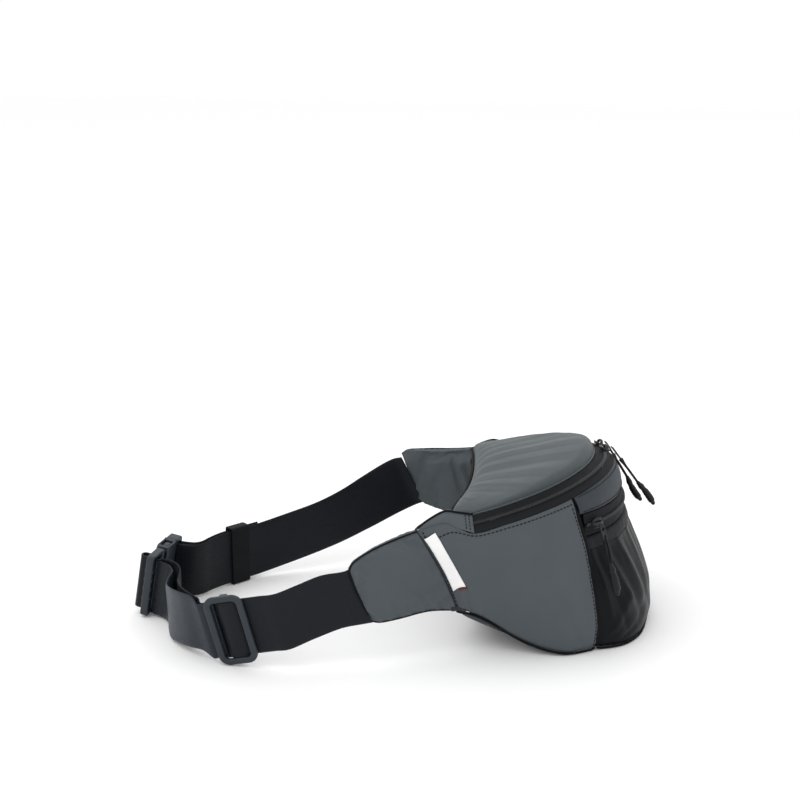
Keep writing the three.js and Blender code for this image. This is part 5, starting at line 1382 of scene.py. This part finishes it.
ob, O, I, N, Lc, kk = ribbon("strap_right_tail_webbing", lean_end(web_tail, (0.1, 0.3, 0.6, 0.88, 0.97, 1, 1)), M_WEB, "root", ripple=0.3, seed=17)
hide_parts("strap_right_tail")
# hem stitches on the tail's free end
NN = N[2] if N[2][1] > 0 else -N[2]
side_o = O if (N[2][1] > 0) else I
ob = stitches("tail_hem_stitch", [(side_o[k, 2:-2], np.repeat(NN[None], side_o.shape[1] - 4, 0)) for k in (2, 4)], M_THREAD, "root", pitch=2.6, dash=1.9, r=0.3)

# ---------------------------------------------------------------- adjuster
z0 = WEB_T / 2 + 0.55
ringA = ring_plate("adj_ring", TG_G, TG_T, TG_W, TG_N, rrect(34, 61, 9, 14), rrect(22.6, 50.6, 3.6, 14), z0, z0 + 3.6, 1.25, M_PLAST, steps=5)
bar = plate("adj_bar", TG_G, TG_T, TG_W, TG_N, rrect(6, 58, 1.5, 4), -WEB_T / 2 - 2.0, -WEB_T / 2 - 0.5, 0.5, M_PLAST)
posts = [plate("adj_post", TG_G, TG_T, TG_W, TG_N, rrect(6.8, 3.6, 0.9, 4, 0, s * 27.75), -WEB_T / 2 - 2.0, z0 + 1.6, 0.4, M_PLAST) for s in (-1, 1)]
ob = join("strap_adjuster_moulded", [ringA, bar, *posts], "adjuster")
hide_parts("strap_adjuster")

# ---------------------------------------------------------------- keeper
KT = nrm(A(0.83, -0.557, 0))
kex = A(-KT[1], KT[0], 0)
kez = np.cross(kex, A(0, 0, 1))
ob = ring_plate("strap_keeper_elastic", A(-2.9, 327.7, 27.6), kex, A(0, 0, 1), kez, rrect(10.9, 54.6, 2.2, 8), rrect(8.4, 52.2, 1.0, 8), -9.5, 9.5, 0.55, M_ELAS, "keeper", steps=4)
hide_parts("strap_keeper")
cen = A(-2.9, 327.7, 27.6)
runs = []
for sg in (-1, 1):
    a = cen + kex * (5.55 * sg)
    runs.append((np.array([a + kez * q for q in np.linspace(-8.6, 8.6, 12)]), np.repeat((kex * sg)[None], 12, 0)))
ob = stitches("keeper_stitch", runs, M_THREAD, "keeper", pitch=2.4, dash=1.8, r=0.32)

# ---------------------------------------------------------------- buckle
BX, BY, BZ = A(1, 0, 0), A(0, LEAN_C, LEAN_S), A(0, -LEAN_S, LEAN_C)
o0 = lean_pt(0, BK_Y, 0)


def slab(name, x0, x1, z0_, z1_, y0, y1, bev, mat=None, r=None):
    """rounded slab in the XZ plane, y0..y1 through the thickness"""
    w, h = x1 - x0, z1_ - z0_
    r = min(w, h) * 0.35 if r is None else r
    return plate(name, o0, BX, BZ, -BY, rrect(w, h, min(r, w / 2 - 0.01, h / 2 - 0.01), 5, (x0 + x1) / 2, (z0_ + z1_) / 2), -y1, -y0, bev, mat or M_PLAST)


# male half: rounded frame, webbing bar, shoulder with grip ribs, guide tongue
fr_ = ring_plate("bm_frame", o0 + BX * -90.5 + BZ * 29, BX, BZ, -BY, rrect(23, 56.8, 3.0, 10), rrect(14.4, 50.2, 1.6, 10), -3.4, 3.4, 1.0, M_PLAST)
parts = [fr_, slab("bm_bar", -92.6, -89.4, 2.4, 55.6, -1.5, 1.5, 1.2, r=0.8), slab("bm_sh", -83.2, -78.8, 0.8, 57.2, -4.0, 4.0, 1.2, r=2.0), slab("bm_tongue", -79.5, -62, 24.5, 33.5, -1.6, 1.6, 0.8, r=2.0)]
for k in range(4):
    z = 16 + k * 8.6
    parts.append(slab("bm_rib", -101.6, -98.0, z, z + 3.4, -3.9, 3.9, 0.6, r=1.2))
ob = join("buckle_male_moulded", parts, "buckle_male_half")
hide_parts("buckle_male")
for sg, nm in ((-1, "lower"), (1, "upper")):
    out = np.array([(-79.0, 17.2), (-79.0, 22.4), (-72, 23.4), (-66, 25.6), (-60.5, 22.6), (-59, 18.6), (-61, 16.6), (-66, 17.6), (-72, 17.0)], float)
    closed = np.concatenate([out[-1:], out, out[:2]])
    t_ = np.linspace(1, len(out) + 1, 60, endpoint=False) / (len(closed) - 1)
    sm = cr(closed, t_)
    sm[:, 1] = 29 + sg * sm[:, 1]
    if sg < 0:
        sm = sm[::-1]
    ob = plate(f"buckle_prong_{nm}_moulded", o0, BX, BZ, -BY, sm, -2.4, 2.4, 0.7, M_PLAST, f"prong_{nm}")
    grip = [slab(f"bg{nm}{k}", -66.5 + k * 1.7, -65.7 + k * 1.7, 29 + sg * 24.8 - 1.6, 29 + sg * 24.8 + 0.6, -2.7, 2.7, 0.3, r=0.3) for k in range(3)]
    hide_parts(f"buckle_prong_{nm}")
    grip.append(slab(f"bp{nm}", -70.8, -60.8, 29 + sg * 24.6 - 2.7, 29 + sg * 24.6 + 2.7, -2.9, 2.9, 1.3, r=2.6))
    g_ = join(f"buckle_prong_{nm}_grip", grip, f"prong_{nm}")

# female half: two rounded covers, side walls with button windows, webbing bars
parts = []
for sg in (-1, 1):
    ya, yb = (3.9, 5.7) if sg > 0 else (-5.7, -3.9)
    outl = np.array([(-77, 6), (-76, 2.6), (-72.5, 0.4), (-60, 0.4), (-48, 0.4), (-44.2, 2.4), (-43, 6), (-43, 29), (-43, 52), (-44.2, 55.6), (-48, 57.6), (-60, 57.6), (-72.5, 57.6), (-76, 55.4), (-77, 52), (-77.8, 40), (-75.2, 29), (-77.8, 18)], float)
    closed = np.concatenate([outl[-1:], outl, outl[:2]])
    sm = cr(closed, np.linspace(1, len(outl) + 1, 90, endpoint=False) / (len(closed) - 1))
    body_pl = plate("bf_cover", o0, BX, BZ, -BY, np.array([(min(x, -57.4), z) for x, z in sm]), -yb, -ya, 0.8, M_PLAST)
    parts.append(body_pl)
parts.append(ring_plate("bf_frame", o0 + BX * -50.2 + BZ * 29, BX, BZ, -BY, rrect(15.0, 57.0, 3.2, 10), rrect(9.8, 49.6, 1.4, 10), -5.4, 5.4, 1.2, M_PLAST))
parts.append(slab("bf_bar", -53.0, -49.9, 3.0, 55, -2.2, 2.2, 1.4, r=0.9))
for z in (0.6, 54.2):
    parts.append(slab("bf_wall_a", -76.2, -72.2, z, z + 3.2, -4.6, 4.6, 0.6, r=1.0))
    parts.append(slab("bf_wall_b", -60.0, -56.0, z, z + 3.2, -4.6, 4.6, 0.6, r=1.0))
ob = join("buckle_female_moulded", parts, "root")
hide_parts("buckle_female")


def loop_round(name, cx, cy, w, h, t, za, zb, body, node_name):
    outer = rrect(w, h, min(w, h) / 2 - 0.05, 10)
    inner = rrect(w - 2 * t, h - 2 * t, min(w, h) / 2 - t - 0.05, 10)
    ob = ring_plate(name, lean_pt(cx, cy, 0), BX, BY, BZ, outer, inner, za, zb, 0.5, M_WEB, body)
    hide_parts(node_name)
    return ob


loop_round("strap_loop_male_webbing", -91, BK_Y + 2.7, 9.2, 19.6, 1.8, 4.4, 53.6, "buckle_male_half", "strap_loop_male")
loop_round("strap_loop_female_webbing", -51.4, BK_Y, 8.4, 9.4, 1.3, 4.6, 53.4, "root", "strap_loop_female")

# ---------------------------------------------------------------- stage
floor_me = bpy.data.meshes.new("floor")
floor_me.from_pydata([(-6, -6, -0.0002), (6, -6, -0.0002), (6, 6, -0.0002), (-6, 6, -0.0002)], [], [(0, 1, 2, 3)])
floor = bpy.data.objects.new("floor", floor_me)
scene.collection.objects.link(floor)
fm = bpy.data.materials.new("floor")
fm.use_nodes = True
fb = fm.node_tree.nodes["Principled BSDF"]
fb.inputs["Base Color"].default_value = (0.972, 0.972, 0.975, 1)
fb.inputs["Roughness"].default_value = 0.75
floor_me.materials.append(fm)
world = bpy.data.worlds.new("world")
scene.world = world
world.use_nodes = True
bg = world.node_tree.nodes["Background"]
bg.inputs["Color"].default_value = (1.0, 1.0, 1.0, 1)
bg.inputs["Strength"].default_value = 1.02


def area(name, loc, target, size, power, color=(1, 1, 1)):
    ld = bpy.data.lights.new(name, "AREA")
    ld.shape = "RECTANGLE"
    ld.size, ld.size_y = size
    ld.energy = power
    ld.color = color
    o = bpy.data.objects.new(name, ld)
    o.location = loc
    o.rotation_euler = (Vector(target) - Vector(loc)).to_track_quat("-Z", "Y").to_euler()
    scene.collection.objects.link(o)
    return o


area("key", (-0.5, 1.1, 1.9), (0, 0.12, 0.05), (1.8, 1.8), 13)
area("front", (-1.6, -0.9, 1.1), (0, 0.15, 0.05), (1.2, 1.2), 2)
area("rim", (1.3, 0.2, 1.3), (0, 0.1, 0.05), (1.0, 1.4), 2)
scene.view_settings.view_transform = "Standard"
scene.view_settings.look = "None"
